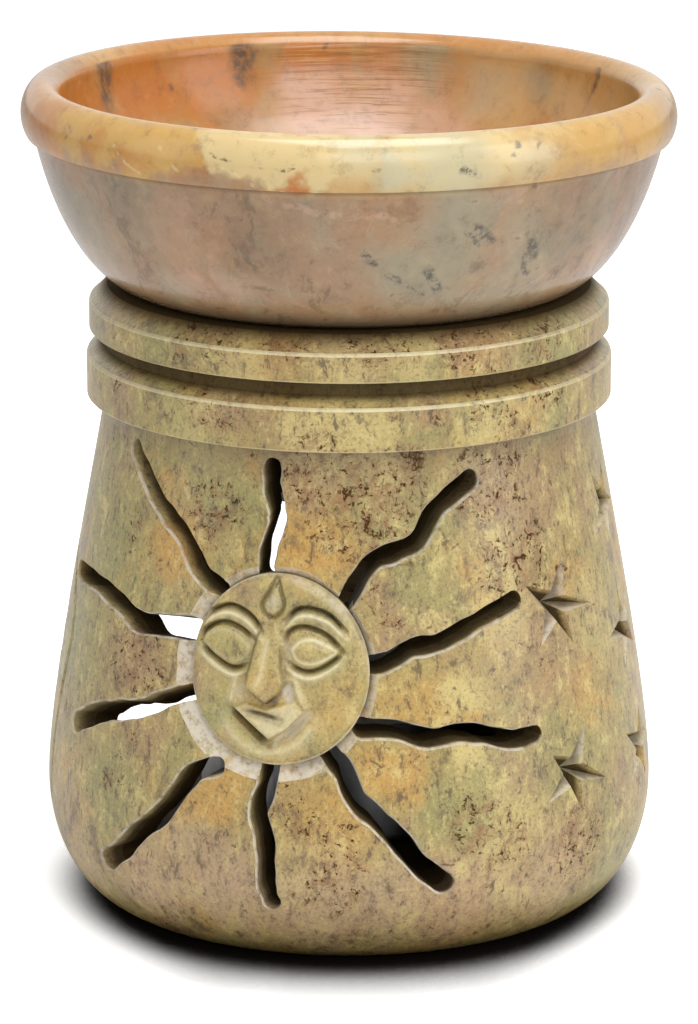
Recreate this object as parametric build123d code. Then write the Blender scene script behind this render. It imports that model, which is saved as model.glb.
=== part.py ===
from build123d import *
import os
from math import asin, cos, degrees, hypot, pi, radians, sin, sqrt

# Essential oil burner turned and carved from soapstone: a hollow body with a pierced sun, a loose oil bowl
# on top and a tealight inside. Millimetres. The origin is the centre of the flat base, +Z is up and the front
# faces -Y. Azimuths are in degrees about Z, 0 at the front, positive towards +X.

# Stone body, outside
belly_radius = 38.6
belly_height = 14.8
foot_curve_reach = 9.6
foot_curve_drop = 15.1
neck_radius = 31.1
neck_height = 63.2
belly_handle = 10.0
neck_handle = 12.0
neck_flare = 2.1

# Collar rings at the top of the body
lower_ring_radius = 33.1
lower_ring_height = 7.6
upper_ring_radius = 32.75
upper_ring_height = 6.0
ring_groove_width = 1.4
ring_groove_radius = 31.0
ring_step = 0.9
ring_round = 2.3

# Stone body, inside
wall = 6.2
floor_thickness = 10.0
floor_round = 4.0
mouth_radius = 24.0
mouth_land = 9.0

# Doorway for the tealight, at the back left, with a scalloped edge and an engraved line round it
door_azimuth = -130.0
door_half_angle = 35.7
door_spring = 23.0
door_rise = 13.0
door_foil_radius = 2.7
door_foils = 21
door_line_offset = 7.0
door_line_width = 1.1
door_line_foot = 3.5
engraving_depth = 0.7

# Sun: a round face in a scraped margin, with ten wavy rays sawn through the wall
sun_azimuth = -14.5
sun_height = 38.0
face_radius = 11.6
margin_width = 1.7
margin_depth = 0.9
ray_width = 2.3
ray_reach_share = 0.881
ray_wave = 0.5
ray_points = 11
# bearing in degrees and reach as a share of the full reach for the inner and the outer end, then the wave's height
# as a share of ray_wave, its count of waves and its phase in degrees
ray_shares = [
    ((97, 0.340), (93, 0.715), 1.25, 1.15, 50),
    ((49, 0.335), (40.5, 1.010), 1.55, 1.80, 273),
    ((3, 0.325), (12.5, 0.950), 0.55, 2.70, 140),
    ((-33, 0.370), (-16.5, 1.000), 0.95, 2.05, 354),
    ((-58, 0.330), (-54, 0.980), 0.90, 2.20, 0),
    ((-91, 0.335), (-92, 0.855), 1.35, 0.80, 178),
    ((-122, 0.400), (-129, 1.080), 0.95, 2.50, 96),
    ((-160.5, 0.350), (-159, 1.010), 0.75, 1.70, 225),
    ((165, 0.355), (171.5, 1.180), 1.20, 1.45, 283),
    ((132, 0.365), (138.5, 1.040), 0.80, 1.90, 4),
]

# Face of the sun, engraved. Points are shares of face_radius, sideways and upwards from the middle.
face_line_width = 0.75
face_line_depth = 0.6
tear_line_width = 0.45
# each line runs from its first point over its second to its third
brow_shares = [
    ((-0.86, 0.47), (-0.54, 0.66), (-0.17, 0.40)),
    ((0.09, 0.51), (0.38, 0.68), (0.75, 0.42)),
]
lid_shares = [
    ((-0.90, 0.22), (-0.58, 0.46), (-0.25, 0.27)),
    ((0.09, 0.28), (0.38, 0.48), (0.71, 0.22)),
]
under_eye_shares = [
    ((-0.25, 0.17), (-0.52, -0.03), (-0.86, 0.17)),
    ((0.68, 0.15), (0.38, -0.02), (0.12, 0.17)),
]
mouth_line_share = ((-0.32, -0.43), (-0.10, -0.47), (0.16, -0.45))
nose_shares = [(-0.15, 0.48), (-0.02, 0.48), (0.09, -0.13), (-0.08, -0.32), (-0.30, -0.18)]
lip_shares = [(-0.45, -0.41), (-0.08, -0.39), (0.31, -0.41), (-0.04, -0.73)]
# left, bottom, right and top of the drop on the forehead
tear_shares = [(-0.17, 0.68), (-0.07, 0.58), (0.03, 0.68), (-0.04, 0.92)]

# Chip-carved stars round the right side and the back
star_radius = 6.4
star_waist = 1.5
star_depth = 2.6
star_lift = 0.5
star_arms = 5
star_columns = 5
star_first_azimuth = 47.0
star_column_step = 28.0
star_pair_heights = (22.0, 43.3)
star_triple_heights = (21.0, 36.5, 52.0)
star_turn = 14.0

# Oil bowl
bowl_foot_radius = 27.5
bowl_foot_handle = 6.1
bowl_foot_lift = 1.6
bowl_wall_radius = 39.35
bowl_wall_height = 19.2
bowl_wall_handle = 8.4
bowl_wall_flare = 1.75
rim_centre_radius = 38.2
rim_half_width = 2.77
rim_half_height = 4.0
rim_rise = 22.0
rim_step = 0.25
lip_radius = 36.0
bowl_floor = 5.5
bowl_inner_handle = 14.5
bowl_inner_flare = 1.2
bowl_floor_handle = 21.0
spigot_depth = 2.5
spigot_round = 1.2
seat_clearance = 0.4

# Tealight
cup_radius = 19.0
cup_height = 16.0
cup_wall = 0.4
cup_lip = 0.5
cup_corner = 1.5
wax_depth = 12.8
wax_gap = 0.1
sustainer_radius = 6.0
sustainer_thickness = 0.3
sustainer_neck_radius = 1.5
sustainer_neck_height = 3.0
wick_radius = 0.9
wick_gap = 0.05
wick_height = 19.5

# Every cutter runs this far past the stone
overrun = 2.0
# Share of the chamber's radius at which the ray cutters start
ray_start_share = 0.86

body_height = neck_height + ring_step + lower_ring_height + ring_groove_width + upper_ring_height
chamber_radius = belly_radius - wall
door_half_width = belly_radius * sin(radians(door_half_angle))
ray_reach = belly_radius * ray_reach_share
UPRIGHT = Align.CENTER, Align.CENTER, Align.MIN


def bezier(points, t):
    """Point at t on a cubic curve, as the outline draws it."""
    weights = ((1 - t) ** 3, 3 * t * (1 - t) ** 2, 3 * t * t * (1 - t), t ** 3)
    return tuple(sum(w * p[axis] for w, p in zip(weights, points)) for axis in range(2))


def side_curve(inset):
    """Control points of the side between belly and neck, moved in by inset."""
    return [
        (belly_radius - inset, belly_height),
        (belly_radius - inset, belly_height + belly_handle),
        (neck_radius + neck_flare - inset, neck_height - neck_handle),
        (neck_radius - inset, neck_height),
    ]


def wall_radius(height):
    """Outside radius of the carved wall at a height."""
    if height <= belly_height:
        drop = (belly_height - height) / foot_curve_drop
        return belly_radius - foot_curve_reach * (1 - sqrt(1 - drop * drop))
    low, high = 0.0, 1.0
    curve = side_curve(0)
    for _ in range(40):
        middle = (low + high) / 2
        if bezier(curve, middle)[1] < height:
            low = middle
        else:
            high = middle
    return bezier(curve, low)[0]


def facing(azimuth):
    """Upright plane through the axis that looks out along an azimuth: x is sideways and y is up."""
    turn = radians(azimuth)
    return Plane(origin=(0, 0, 0), x_dir=(cos(turn), sin(turn), 0), z_dir=(sin(turn), -cos(turn), 0))


def turned(outline):
    """Solid of revolution from an outline drawn as radius and height."""
    return revolve(Plane.XZ * make_face(outline), Axis.Z)


def wall_core(inset):
    """The body's outer form without its rings, shrunk by inset."""
    foot = belly_height - foot_curve_drop
    curve = side_curve(inset)
    centre = belly_radius - foot_curve_reach
    edges = Bezier(*curve)
    edges += Line((neck_radius - inset, neck_height), (0, neck_height))
    edges += Line((0, neck_height), (0, foot + inset))
    edges += Line((0, foot + inset), (centre, foot + inset))
    edges += EllipticalCenterArc(
        (centre, belly_height), foot_curve_reach - inset, foot_curve_drop - inset, start_angle=270, arc_size=90
    )
    return turned(edges)


def ring(radius, bottom, height):
    """Collar ring with rounded edges."""
    solid = Pos(0, 0, bottom) * Cylinder(radius, height, align=UPRIGHT)
    return fillet(solid.edges().filter_by(GeomType.CIRCLE), ring_round)


def stone_outside():
    lower_bottom = neck_height + ring_step
    upper_bottom = lower_bottom + lower_ring_height + ring_groove_width
    core = wall_core(0)
    below = Cylinder(belly_radius + overrun, foot_curve_drop, align=(Align.CENTER, Align.CENTER, Align.MAX))
    neck = Pos(0, 0, neck_height) * Cylinder(neck_radius, ring_step + ring_round, align=UPRIGHT)
    groove_bottom = lower_bottom + lower_ring_height - ring_round
    groove = Pos(0, 0, groove_bottom) * Cylinder(
        ring_groove_radius, ring_groove_width + 2 * ring_round, align=UPRIGHT
    )
    lower = ring(lower_ring_radius, lower_bottom, lower_ring_height)
    upper = ring(upper_ring_radius, upper_bottom, upper_ring_height)
    return core - below + neck + lower + groove + upper


def chamber():
    """Hollow inside: rounded floor corner, sides that follow the outside, and the mouth under the bowl."""
    side = side_curve(wall)
    land_bottom = body_height - mouth_land
    top = body_height + overrun
    edges = Line((0, floor_thickness), (chamber_radius - floor_round, floor_thickness))
    edges += Line((0, floor_thickness), (0, top))
    edges += Line((0, top), (mouth_radius, top))
    edges += Line((mouth_radius, top), (mouth_radius, land_bottom))
    edges += Line((mouth_radius, land_bottom), side[3])
    edges += Bezier(*side)
    rise = belly_height - floor_thickness
    edges += EllipticalCenterArc(
        (chamber_radius - floor_round, belly_height), floor_round, rise, start_angle=270, arc_size=90
    )
    return turned(edges)


def door_path_point(t):
    """Point of the doorway's edge in its own plane, t from 0 at one foot to 1 at the other."""
    spring = floor_thickness + door_spring
    arc = pi * (3 * (door_half_width + door_rise) - sqrt(
        (3 * door_half_width + door_rise) * (door_half_width + 3 * door_rise)
    )) / 2
    length = 2 * door_spring + arc
    along = t * length
    if along < door_spring:
        return -door_half_width, floor_thickness + along
    if along > length - door_spring:
        return door_half_width, floor_thickness + length - along
    angle = pi * (1 - (along - door_spring) / arc)
    return door_half_width * cos(angle), spring + door_rise * sin(angle)


def arch(offset, foot):
    """Arched outline round the doorway, offset outwards."""
    spring = floor_thickness + door_spring
    half = door_half_width + offset
    edges = Line((-half, spring), (-half, foot))
    edges += Line((-half, foot), (half, foot))
    edges += Line((half, foot), (half, spring))
    edges += EllipticalCenterArc((0, spring), half, door_rise + offset, start_angle=0, arc_size=180)
    return make_face(edges)


def outwards(face, azimuth, start):
    """Prism of a drawn face, from a distance inside the wall to past the stone."""
    plane = facing(azimuth).offset(start)
    return extrude(plane * face, belly_radius + overrun - start)


def doorway():
    shape = arch(0, floor_thickness)
    for foil in range(door_foils):
        x, z = door_path_point((foil + 0.5) / door_foils)
        if z - door_foil_radius >= floor_thickness:
            shape += Pos(x, z) * Circle(door_foil_radius)
    return outwards(shape, door_azimuth, 0)


def door_line():
    foot = floor_thickness + door_line_foot
    band = arch(door_line_offset, foot) - arch(door_line_offset - door_line_width, foot - overrun)
    return outwards(band, door_azimuth, 0) - wall_core(engraving_depth)


def sun_point(bearing, reach, view):
    """Point on the wall at a bearing and distance from the sun's centre, drawn in a plane that faces view."""
    along = reach * cos(radians(bearing))
    height = sun_height + reach * sin(radians(bearing))
    azimuth = sun_azimuth + degrees(along / wall_radius(sun_height))
    return wall_radius(height) * sin(radians(azimuth - view)), height


def ray(inner, outer, wave_share, waves, phase):
    """Prism of one wavy ray."""
    ends = [(bearing, share * ray_reach) for bearing, share in (inner, outer)]
    sideways = sum(reach * cos(radians(bearing)) for bearing, reach in ends) / 2
    view = sun_azimuth + degrees(sideways / wall_radius(sun_height))
    start, finish = [Vector(*sun_point(bearing, reach, view)) for bearing, reach in ends]
    chord = finish - start
    across = Vector(-chord.Y, chord.X).normalized()
    swing = wave_share * ray_wave
    middle, left, right = [], [], []
    for step in range(ray_points):
        t = step / (ray_points - 1)
        angle = 2 * pi * waves * t + radians(phase)
        slope = 2 * pi * waves * swing * cos(angle)
        direction = (chord + across * slope).normalized()
        half = Vector(-direction.Y, direction.X) * (ray_width / 2)
        point = start + chord * t + across * (swing * sin(angle))
        middle.append((point, direction))
        left.append(point + half)
        right.append(point - half)
    first_tip = middle[0][0] - middle[0][1] * (ray_width / 2)
    last_tip = middle[-1][0] + middle[-1][1] * (ray_width / 2)
    edges = Spline(*left) + ThreePointArc(left[-1], last_tip, right[-1])
    edges += Spline(*right) + ThreePointArc(right[0], first_tip, left[0])
    return outwards(make_face(edges), view, chamber_radius * ray_start_share)


def face_margin():
    """Scraped margin round the face, as deep as margin_depth all the way round."""
    band = Circle(face_radius + margin_width) - Circle(face_radius)
    return outwards(Pos(0, sun_height) * band, sun_azimuth, 0) - wall_core(margin_depth)


def face_point(share):
    """Point on the face from its shares."""
    return face_radius * share[0], sun_height + face_radius * share[1]


def chip(shares, width):
    """Outline of a carved line that is widest in the middle and runs out at its ends."""
    start, middle, end = [Vector(*face_point(share)) for share in shares]
    inner = middle + ((start + end) / 2 - middle).normalized() * width
    return make_face(ThreePointArc(start, middle, end) + ThreePointArc(end, inner, start))


def border(outline, width):
    """Band round an outline."""
    return offset(outline, width, kind=Kind.INTERSECTION) - outline


def face_lines():
    """Brows, closed eyes, nose, lips and the drop on the forehead, as deep as face_line_depth."""
    left, bottom, right, top = [face_point(share) for share in tear_shares]
    tear = make_face(ThreePointArc(left, bottom, right) + Line(right, top) + Line(top, left))
    lines = border(tear, tear_line_width)
    lines += border(make_face(Polyline(*[face_point(share) for share in nose_shares], close=True)), face_line_width)
    lines += border(make_face(Polyline(*[face_point(share) for share in lip_shares], close=True)), face_line_width)
    for shares in brow_shares + lid_shares + under_eye_shares + [mouth_line_share]:
        lines += chip(shares, face_line_width)
    return outwards(lines, sun_azimuth, 0) - wall_core(face_line_depth)


def star(azimuth, height, turn):
    """Cutter of one chip-carved star: V-shaped arms that deepen to a point in the middle."""
    corners = []
    for corner in range(2 * star_arms):
        reach = star_radius if corner % 2 == 0 else star_waist
        angle = radians(90 + turn + corner * 180 / star_arms)
        corners.append((reach * cos(angle), reach * sin(angle)))
    radius = wall_radius(height)
    rise = wall_radius(height - star_waist) - wall_radius(height + star_waist)
    lean = degrees(asin(rise / hypot(rise, 2 * star_waist)))
    plane = facing(azimuth)
    middle = plane.z_dir * radius + Vector(0, 0, height)
    normal = plane.z_dir.rotate(Axis((0, 0, 0), plane.x_dir), -lean)
    surface = Plane(origin=middle, x_dir=plane.x_dir, z_dir=normal)
    top = surface.offset(star_lift) * Polygon(*corners, align=None)
    point = Vertex(*(middle - normal * star_depth))
    return loft([top, point])


def stone_body():
    body = stone_outside() - chamber()
    body -= doorway()
    body -= door_line()
    body -= face_margin()
    body -= face_lines()
    for shares in ray_shares:
        body -= ray(*shares)
    for column in range(star_columns):
        azimuth = star_first_azimuth + column * star_column_step
        for row, height in enumerate(star_triple_heights if column % 2 else star_pair_heights):
            body -= star(azimuth, height, star_turn * (column + 2 * row - 2))
    return body


def oil_bowl():
    seat = body_height
    spigot = mouth_radius - seat_clearance
    step = seat + bowl_wall_height
    rim_middle = seat + rim_rise
    low = step + rim_step
    low_angle = asin((low - rim_middle) / rim_half_height)
    low_radius = rim_centre_radius + rim_half_width * cos(low_angle)
    lip_angle = pi - asin(sqrt(1 - ((rim_centre_radius - lip_radius) / rim_half_width) ** 2))
    lip_height = rim_middle + rim_half_height * sin(lip_angle)
    floor = seat - spigot_depth + bowl_floor
    edges = Line((0, seat - spigot_depth), (spigot, seat - spigot_depth))
    edges += Line((spigot, seat - spigot_depth), (spigot, seat))
    edges += Line((spigot, seat), (bowl_foot_radius, seat))
    edges += Bezier(
        (bowl_foot_radius, seat),
        (bowl_foot_radius + bowl_foot_handle, seat + bowl_foot_lift),
        (bowl_wall_radius - bowl_wall_flare, step - bowl_wall_handle),
        (bowl_wall_radius, step),
    )
    edges += Line((bowl_wall_radius, step), (low_radius, low))
    edges += EllipticalCenterArc(
        (rim_centre_radius, rim_middle),
        rim_half_width,
        rim_half_height,
        start_angle=degrees(low_angle),
        arc_size=degrees(lip_angle - low_angle),
    )
    edges += Bezier(
        (lip_radius, lip_height),
        (lip_radius - bowl_inner_flare, lip_height - bowl_inner_handle),
        (bowl_floor_handle, floor),
        (0, floor),
    )
    edges += Line((0, floor), (0, seat - spigot_depth))
    bowl = turned(edges)
    corner = bowl.edges().filter_by(GeomType.CIRCLE).sort_by(Axis.Z)[0]
    return fillet(corner, spigot_round)


def tealight_cup():
    cup = Cylinder(cup_radius, cup_height, align=UPRIGHT)
    cup = fillet(cup.edges().filter_by(GeomType.CIRCLE).sort_by(Axis.Z)[0], cup_corner)
    inside = Pos(0, 0, cup_wall) * Cylinder(cup_radius - cup_wall, cup_height, align=UPRIGHT)
    inside = fillet(inside.edges().filter_by(GeomType.CIRCLE).sort_by(Axis.Z)[0], cup_corner - cup_wall)
    lip = Pos(0, 0, cup_height - cup_wall) * Cylinder(cup_radius + cup_lip, cup_wall, align=UPRIGHT)
    return Pos(0, 0, floor_thickness) * (cup + lip - inside)


def tealight_wax():
    corner = cup_corner - cup_wall
    wax = Cylinder(cup_radius - cup_wall - wax_gap, wax_depth, align=UPRIGHT)
    wax = fillet(wax.edges().filter_by(GeomType.CIRCLE).sort_by(Axis.Z)[0], corner)
    plate = Cylinder(sustainer_radius + wax_gap, sustainer_thickness, align=UPRIGHT)
    neck = Cylinder(sustainer_neck_radius + wax_gap, sustainer_neck_height, align=UPRIGHT)
    hole = Cylinder(wick_radius + wick_gap, wax_depth, align=UPRIGHT)
    return Pos(0, 0, floor_thickness + cup_wall) * (wax - plate - neck - hole)


def wick_sustainer():
    plate = Cylinder(sustainer_radius, sustainer_thickness, align=UPRIGHT)
    neck = Cylinder(sustainer_neck_radius, sustainer_neck_height, align=UPRIGHT)
    hole = Pos(0, 0, sustainer_thickness) * Cylinder(wick_radius + wick_gap, sustainer_neck_height, align=UPRIGHT)
    return Pos(0, 0, floor_thickness + cup_wall) * (plate + neck - hole)


def wick():
    bottom = floor_thickness + cup_wall + sustainer_thickness
    return Pos(0, 0, bottom) * Cylinder(wick_radius, wick_height - sustainer_thickness, align=UPRIGHT)


NODES = {
    "stone_body": stone_body,
    "oil_bowl": oil_bowl,
    "tealight_cup": tealight_cup,
    "tealight_wax": tealight_wax,
    "wick_sustainer": wick_sustainer,
    "wick": wick,
}

os.makedirs("parts", exist_ok=True)
for node, make in NODES.items():
    export_step(make(), f"parts/{node}.step")
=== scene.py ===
from math import asin, atan2, cos, degrees, pi, radians, sin, sqrt

import bmesh
import bpy
import numpy as np
from bpy.props import FloatProperty, FloatVectorProperty, IntProperty, PointerProperty
from bpy.types import Operator, Panel, PropertyGroup
from mathutils import Matrix, Vector


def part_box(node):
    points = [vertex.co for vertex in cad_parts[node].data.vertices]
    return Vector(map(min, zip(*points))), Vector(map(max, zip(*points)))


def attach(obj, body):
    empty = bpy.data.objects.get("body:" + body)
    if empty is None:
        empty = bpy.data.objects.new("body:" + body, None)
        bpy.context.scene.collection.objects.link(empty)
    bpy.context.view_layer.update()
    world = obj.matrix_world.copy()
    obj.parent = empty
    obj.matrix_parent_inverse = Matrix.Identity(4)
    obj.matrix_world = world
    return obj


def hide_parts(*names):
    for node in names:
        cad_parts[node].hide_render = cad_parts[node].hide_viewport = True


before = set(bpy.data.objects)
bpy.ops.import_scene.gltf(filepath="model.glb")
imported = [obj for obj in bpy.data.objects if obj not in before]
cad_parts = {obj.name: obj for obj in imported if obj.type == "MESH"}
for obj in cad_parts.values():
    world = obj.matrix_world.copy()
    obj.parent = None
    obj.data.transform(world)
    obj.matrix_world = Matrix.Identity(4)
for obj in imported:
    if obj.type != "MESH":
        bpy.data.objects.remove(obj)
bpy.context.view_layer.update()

bl_info = {
    "name": "Soapstone Oil Burner",
    "version": (1, 0, 0),
    "blender": (4, 5, 0),
    "location": "3D View > Sidebar > Burner",
    "description": "Turns and carves a soapstone oil burner with a pierced sun, its dish and its tealight",
    "category": "Add Mesh",
}

MM = 0.001
BODY_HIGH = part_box("stone_body")[1]
BOWL_LOW, BOWL_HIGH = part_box("oil_bowl")

SAME_PLACE = 0.001 * MM
# How far below a height its points are still taken to lie at it
NEAR = 0.1 * MM
# Bearing round the face where the margin is widest and most freshly scraped
LOWER_LEFT = radians(222)
STAR_REACH = 9 * MM
# Half the turn about the doorway's azimuth that its engraved line takes up, in radians
DOOR_SIDE = 1.05

# Points of the sun's carving in millimetres, sideways and upwards from its centre on the unrolled wall.
# Each ray: its centre line from the face outwards, then the share of the full width at both ends.
# RAY_LEANS says how far the saw's inner end stood off at both ends of a ray, sideways and upwards, where
# it wasn't held square to the wall.
RAYS = [
    ([(-1.9, 11.3), (-1.7, 14.4), (-0.7, 17.6), (-0.8, 19.4), (-1.6, 21.8), (-1.8, 24.3)], 0.9, 1.05),
    ([(8.2, 7.8), (10.4, 11.4), (12.4, 13.5), (15.4, 14.5), (18.2, 15.6), (20.6, 18.8), (23.2, 20.6),
      (26.4, 22.3)], 0.95, 1.05),
    ([(10.7, 0.6), (14.1, 1.4), (17.0, 2.8), (20.2, 3.1), (23.2, 4.2), (26.7, 5.5), (31.5, 7.0)], 1.0, 0.9),
    ([(10.6, -6.7), (14.6, -7.0), (18.6, -8.3), (22.4, -8.0), (25.6, -8.6), (29.4, -9.8),
      (32.7, -9.7)], 1.0, 0.95),
    ([(6.2, -9.3), (8.4, -11.9), (9.8, -15.3), (12.4, -18.0), (14.5, -20.3), (17.0, -23.8),
      (20.0, -26.6)], 1.05, 1.1),
    ([(-0.3, -11.3), (-0.6, -14.3), (-1.5, -17.5), (-0.7, -20.6), (-0.5, -24.3), (-0.5, -27.0),
      (0.0, -29.0)], 1.0, 0.85),
    ([(-7.0, -12.4), (-9.9, -13.7), (-12.0, -16.5), (-14.2, -19.7), (-17.8, -22.9), (-20.4, -25.7),
      (-23.6, -28.0)], 1.0, 1.1),
    ([(-11.2, -3.7), (-14.8, -5.3), (-18.7, -7.3), (-23.0, -8.5), (-26.8, -9.8),
      (-32.1, -12.4)], 0.85, 1.15),
    ([(-11.6, 3.9), (-16.4, 3.5), (-20.9, 3.1), (-24.6, 4.4), (-29.4, 5.3), (-34.0, 5.6),
      (-39.6, 5.4)], 1.2, 0.85),
    ([(-8.4, 9.2), (-11.2, 10.8), (-14.5, 14.6), (-17.2, 16.4), (-20.2, 18.4), (-23.7, 21.3),
      (-26.6, 23.5)], 1.05, 0.95),
]
RAY_LEANS = {0: ((-1.1, 0.0), (-0.3, 0.0)), 7: ((0.0, -2.4), (0.0, -0.9)), 8: ((-0.4, -2.3), (0.0, 0.0))}
BROWS = (
    [(-9.9, 5.4), (-9.0, 6.4), (-6.5, 7.3), (-3.8, 6.4), (-2.0, 4.6)],
    [(1.0, 6.0), (2.4, 7.4), (4.3, 7.6), (6.6, 6.8), (8.6, 4.9)],
)
LIDS = (
    [(-10.4, 2.6), (-9.9, 3.9), (-8.4, 4.9), (-6.6, 5.2), (-4.5, 4.5), (-2.9, 3.4)],
    [(1.0, 3.6), (1.5, 4.8), (2.9, 5.4), (4.6, 5.2), (6.5, 4.3), (8.2, 2.6)],
)
UNDER_EYES = (
    [(-10.4, 2.3), (-8.2, 0.9), (-5.7, -0.1), (-3.6, 0.4)],
    [(1.5, 1.0), (3.5, 0.1), (5.4, 0.4), (7.4, 1.6), (8.2, 2.5)],
)
EYES = (
    [(-10.0, 2.6), (-9.2, 3.9), (-7.4, 4.6), (-5.4, 4.3), (-3.3, 2.7), (-3.9, 1.2), (-5.6, 0.6),
     (-8.0, 1.3)],
    [(1.7, 2.7), (2.8, 3.9), (4.4, 4.2), (6.1, 3.7), (7.7, 2.6), (6.0, 1.3), (4.2, 0.8), (2.5, 1.3)],
)
NOSE = [(-1.9, 5.8), (-0.2, 5.9), (0.4, 3.0), (0.6, 0.6), (1.1, -1.4), (0.3, -2.7), (-0.9, -3.8),
        (-3.6, -2.1), (-3.2, 0.2), (-2.8, 2.6)]
# Edges of the nose with their half width and how much dirt and painted shade lie in them
NOSE_EDGES = (
    ([(-2.0, 5.2), (-2.8, 2.6), (-3.2, 0.2), (-3.6, -2.1)], 0.24, 0.8),
    ([(-3.7, -2.1), (-2.3, -3.0), (-0.9, -3.9), (0.4, -2.7)], 0.30, 1.0),
    ([(0.4, 3.6), (0.7, 0.6), (1.2, -1.4), (0.5, -2.5)], 0.22, 0.5),
)
NOSE_RIDGE = [(-1.0, 4.4), (-1.3, 2.0), (-1.7, -0.6), (-2.3, -2.2)]
LIPS = [(-5.2, -4.8), (-3.6, -4.0), (-0.9, -4.5), (2.2, -3.5), (3.7, -4.9), (1.8, -7.0), (-0.5, -8.5),
        (-3.0, -6.6)]
MOUTH_LINE = [(-3.7, -5.0), (-1.8, -5.2), (0.9, -5.8)]
MOUTH_CUT = [(-5.6, -4.8), (-3.1, -6.9), (-0.6, -9.0)]
MOUTH_SCRAPE = [(4.1, -5.1), (2.2, -7.3), (0.1, -8.8)]
FOLDS = (
    [(-3.7, -0.2), (-4.8, -1.0), (-5.2, -2.8), (-5.6, -4.6)],
    [(1.5, -1.0), (2.3, -1.0), (2.8, -2.4), (3.6, -4.2)],
)
CHIN = [(-6.4, -6.2), (-5.0, -8.2), (-3.0, -9.5), (-1.0, -10.0), (1.5, -9.5), (3.6, -8.0), (4.8, -6.0)]
TEAR = [(-0.5, 10.8), (0.0, 9.2), (0.4, 8.0), (0.0, 7.0), (-0.8, 6.6), (-1.7, 7.0), (-2.0, 7.9), (-1.2, 9.3)]
TEAR_DOT = (-0.5, 10.2)
# Tips of the two stars that lie nearest the sun, sideways and upwards from their centres in millimetres
STAR_TIPS = {
    (0, 1): [(7.4, -1.3), (2.6, 6.0), (-5.0, 3.4), (-3.3, -4.5), (2.5, -5.3)],
    (0, 0): [(6.6, -2.4), (2.9, 5.2), (-3.6, 2.8), (-5.0, -3.1), (1.2, -5.4)],
}

# Patches of colour where the stones show them: azimuth from the front to the right in
# degrees, height and reach in millimetres, how much of the colour shows and, for some, how soft they are.
BODY_PATCHES = (
    ("olive", [(-22, 56, 6, 0.9), (-3, 57, 5, 0.8), (16, 57, 6, 0.7), (14, 50, 5, 0.7), (21, 21, 8, 0.8),
               (44, 24, 7, 0.6), (-51, 20, 8, 0.8), (-46, 75, 5, 0.8), (52, 76, 5, 0.8), (52, 66, 4, 0.7),
               (-60, 50, 9, 0.7), (-30, 26, 6, 0.6), (-68, 35, 10, 0.6), (30, 68, 4, 0.6),
               (-40, 67, 5, 0.5), (-27, 33, 4, 0.9), (-24, 40, 3, 0.7), (-3, 39, 3, 0.6)]),
    ("ochre", [(-8, 53, 7, 0.9), (-38, 51, 5, 0.8), (6, 26, 6, 0.8), (-3, 19, 8, 0.7), (-26, 22, 5, 0.8),
               (14, 34, 6, 0.5), (29, 77, 6, 0.6), (-17, 75, 7, 0.4), (-6, 32, 3, 0.5), (-13, 27, 3, 0.5)]),
    ("clay", [(25, 78, 4, 0.8), (33, 77, 4, 0.6), (-9, 62, 6, 0.8), (-48, 37, 6, 0.7), (-33, 36, 4, 0.8),
              (41, 57, 9, 0.6), (43, 38, 9, 0.6), (-41, 8, 8, 0.7), (-25, 11, 7, 0.8), (-5, 9, 9, 0.7),
              (18, 8, 9, 0.7), (40, 10, 8, 0.5), (-28, 69, 4, 0.8), (16, 70, 4, 0.7), (-44, 27, 5, 0.5),
              (-21, 47, 2.5, 0.8), (-31, 36, 2, 0.9), (-16, 36, 2, 0.7), (-24, 29, 2, 0.7)]),
    ("blush", [(-40, 9, 8, 0.6), (-24, 9, 8, 0.7), (-8, 9, 8, 0.7), (8, 9, 8, 0.6), (24, 9, 8, 0.6),
               (40, 9, 8, 0.5), (-66, 10, 9, 0.5), (-32, 14, 6, 0.5)]),
    ("straw", [(-2, 67, 8, 0.7), (24, 35, 3, 0.7), (22, 27, 2.5, 0.6), (33, 45, 6, 0.4), (30, 17, 6, 0.4),
               (-25, 75, 6, 0.5), (0, 75, 5, 0.5), (14, 78, 5, 0.6), (30, 67, 6, 0.5), (-35, 67, 6, 0.4),
               (-8, 14, 7, 0.3), (60, 40, 7, 0.3)]),
)
BODY_SPECKS = [(3, 57, 7), (-6, 62, 6), (-47, 37, 6), (9, 61, 5), (-33, 36, 3), (33, 60, 6), (-31, 56, 5),
               (38, 49, 6), (-3, 12, 5), (48, 12, 5), (-34, 78.5, 4), (-14, 78.5, 4), (6, 78.5, 5),
               (26, 78, 5), (46, 78, 5), (30, 71.5, 4), (46, 71, 5), (-36, 71.5, 3), (18, 67, 3),
               (-28, 68, 3)]
DISH_PATCHES = (
    ("slate", [(26, 93, 3, 0.22), (37, 90, 3, 0.22), (10, 87, 3, 0.15)]),
    ("sage", [(20, 94, 8, 0.8), (14, 88, 8, 0.8), (-38, 84, 4, 0.5), (36, 90, 6, 0.5), (-60, 90, 8, 0.4)]),
    ("amber", [(-30, 89, 6, 0.25), (8, 96, 5, 0.2)]),
    ("rose", [(-34, 85, 4, 0.3), (-22, 85, 3, 0.3), (60, 88, 5, 0.2)]),
    ("peach", [(-11, 94.5, 4, 0.8, 0.5), (-38, 92, 6, 0.4)]),
    ("umber", [(-18, 91, 6, 0.25), (-45, 96, 7, 0.3), (48, 92, 8, 0.35), (66, 94, 8, 0.35),
               (-66, 93, 7, 0.3)]),
)
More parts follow.
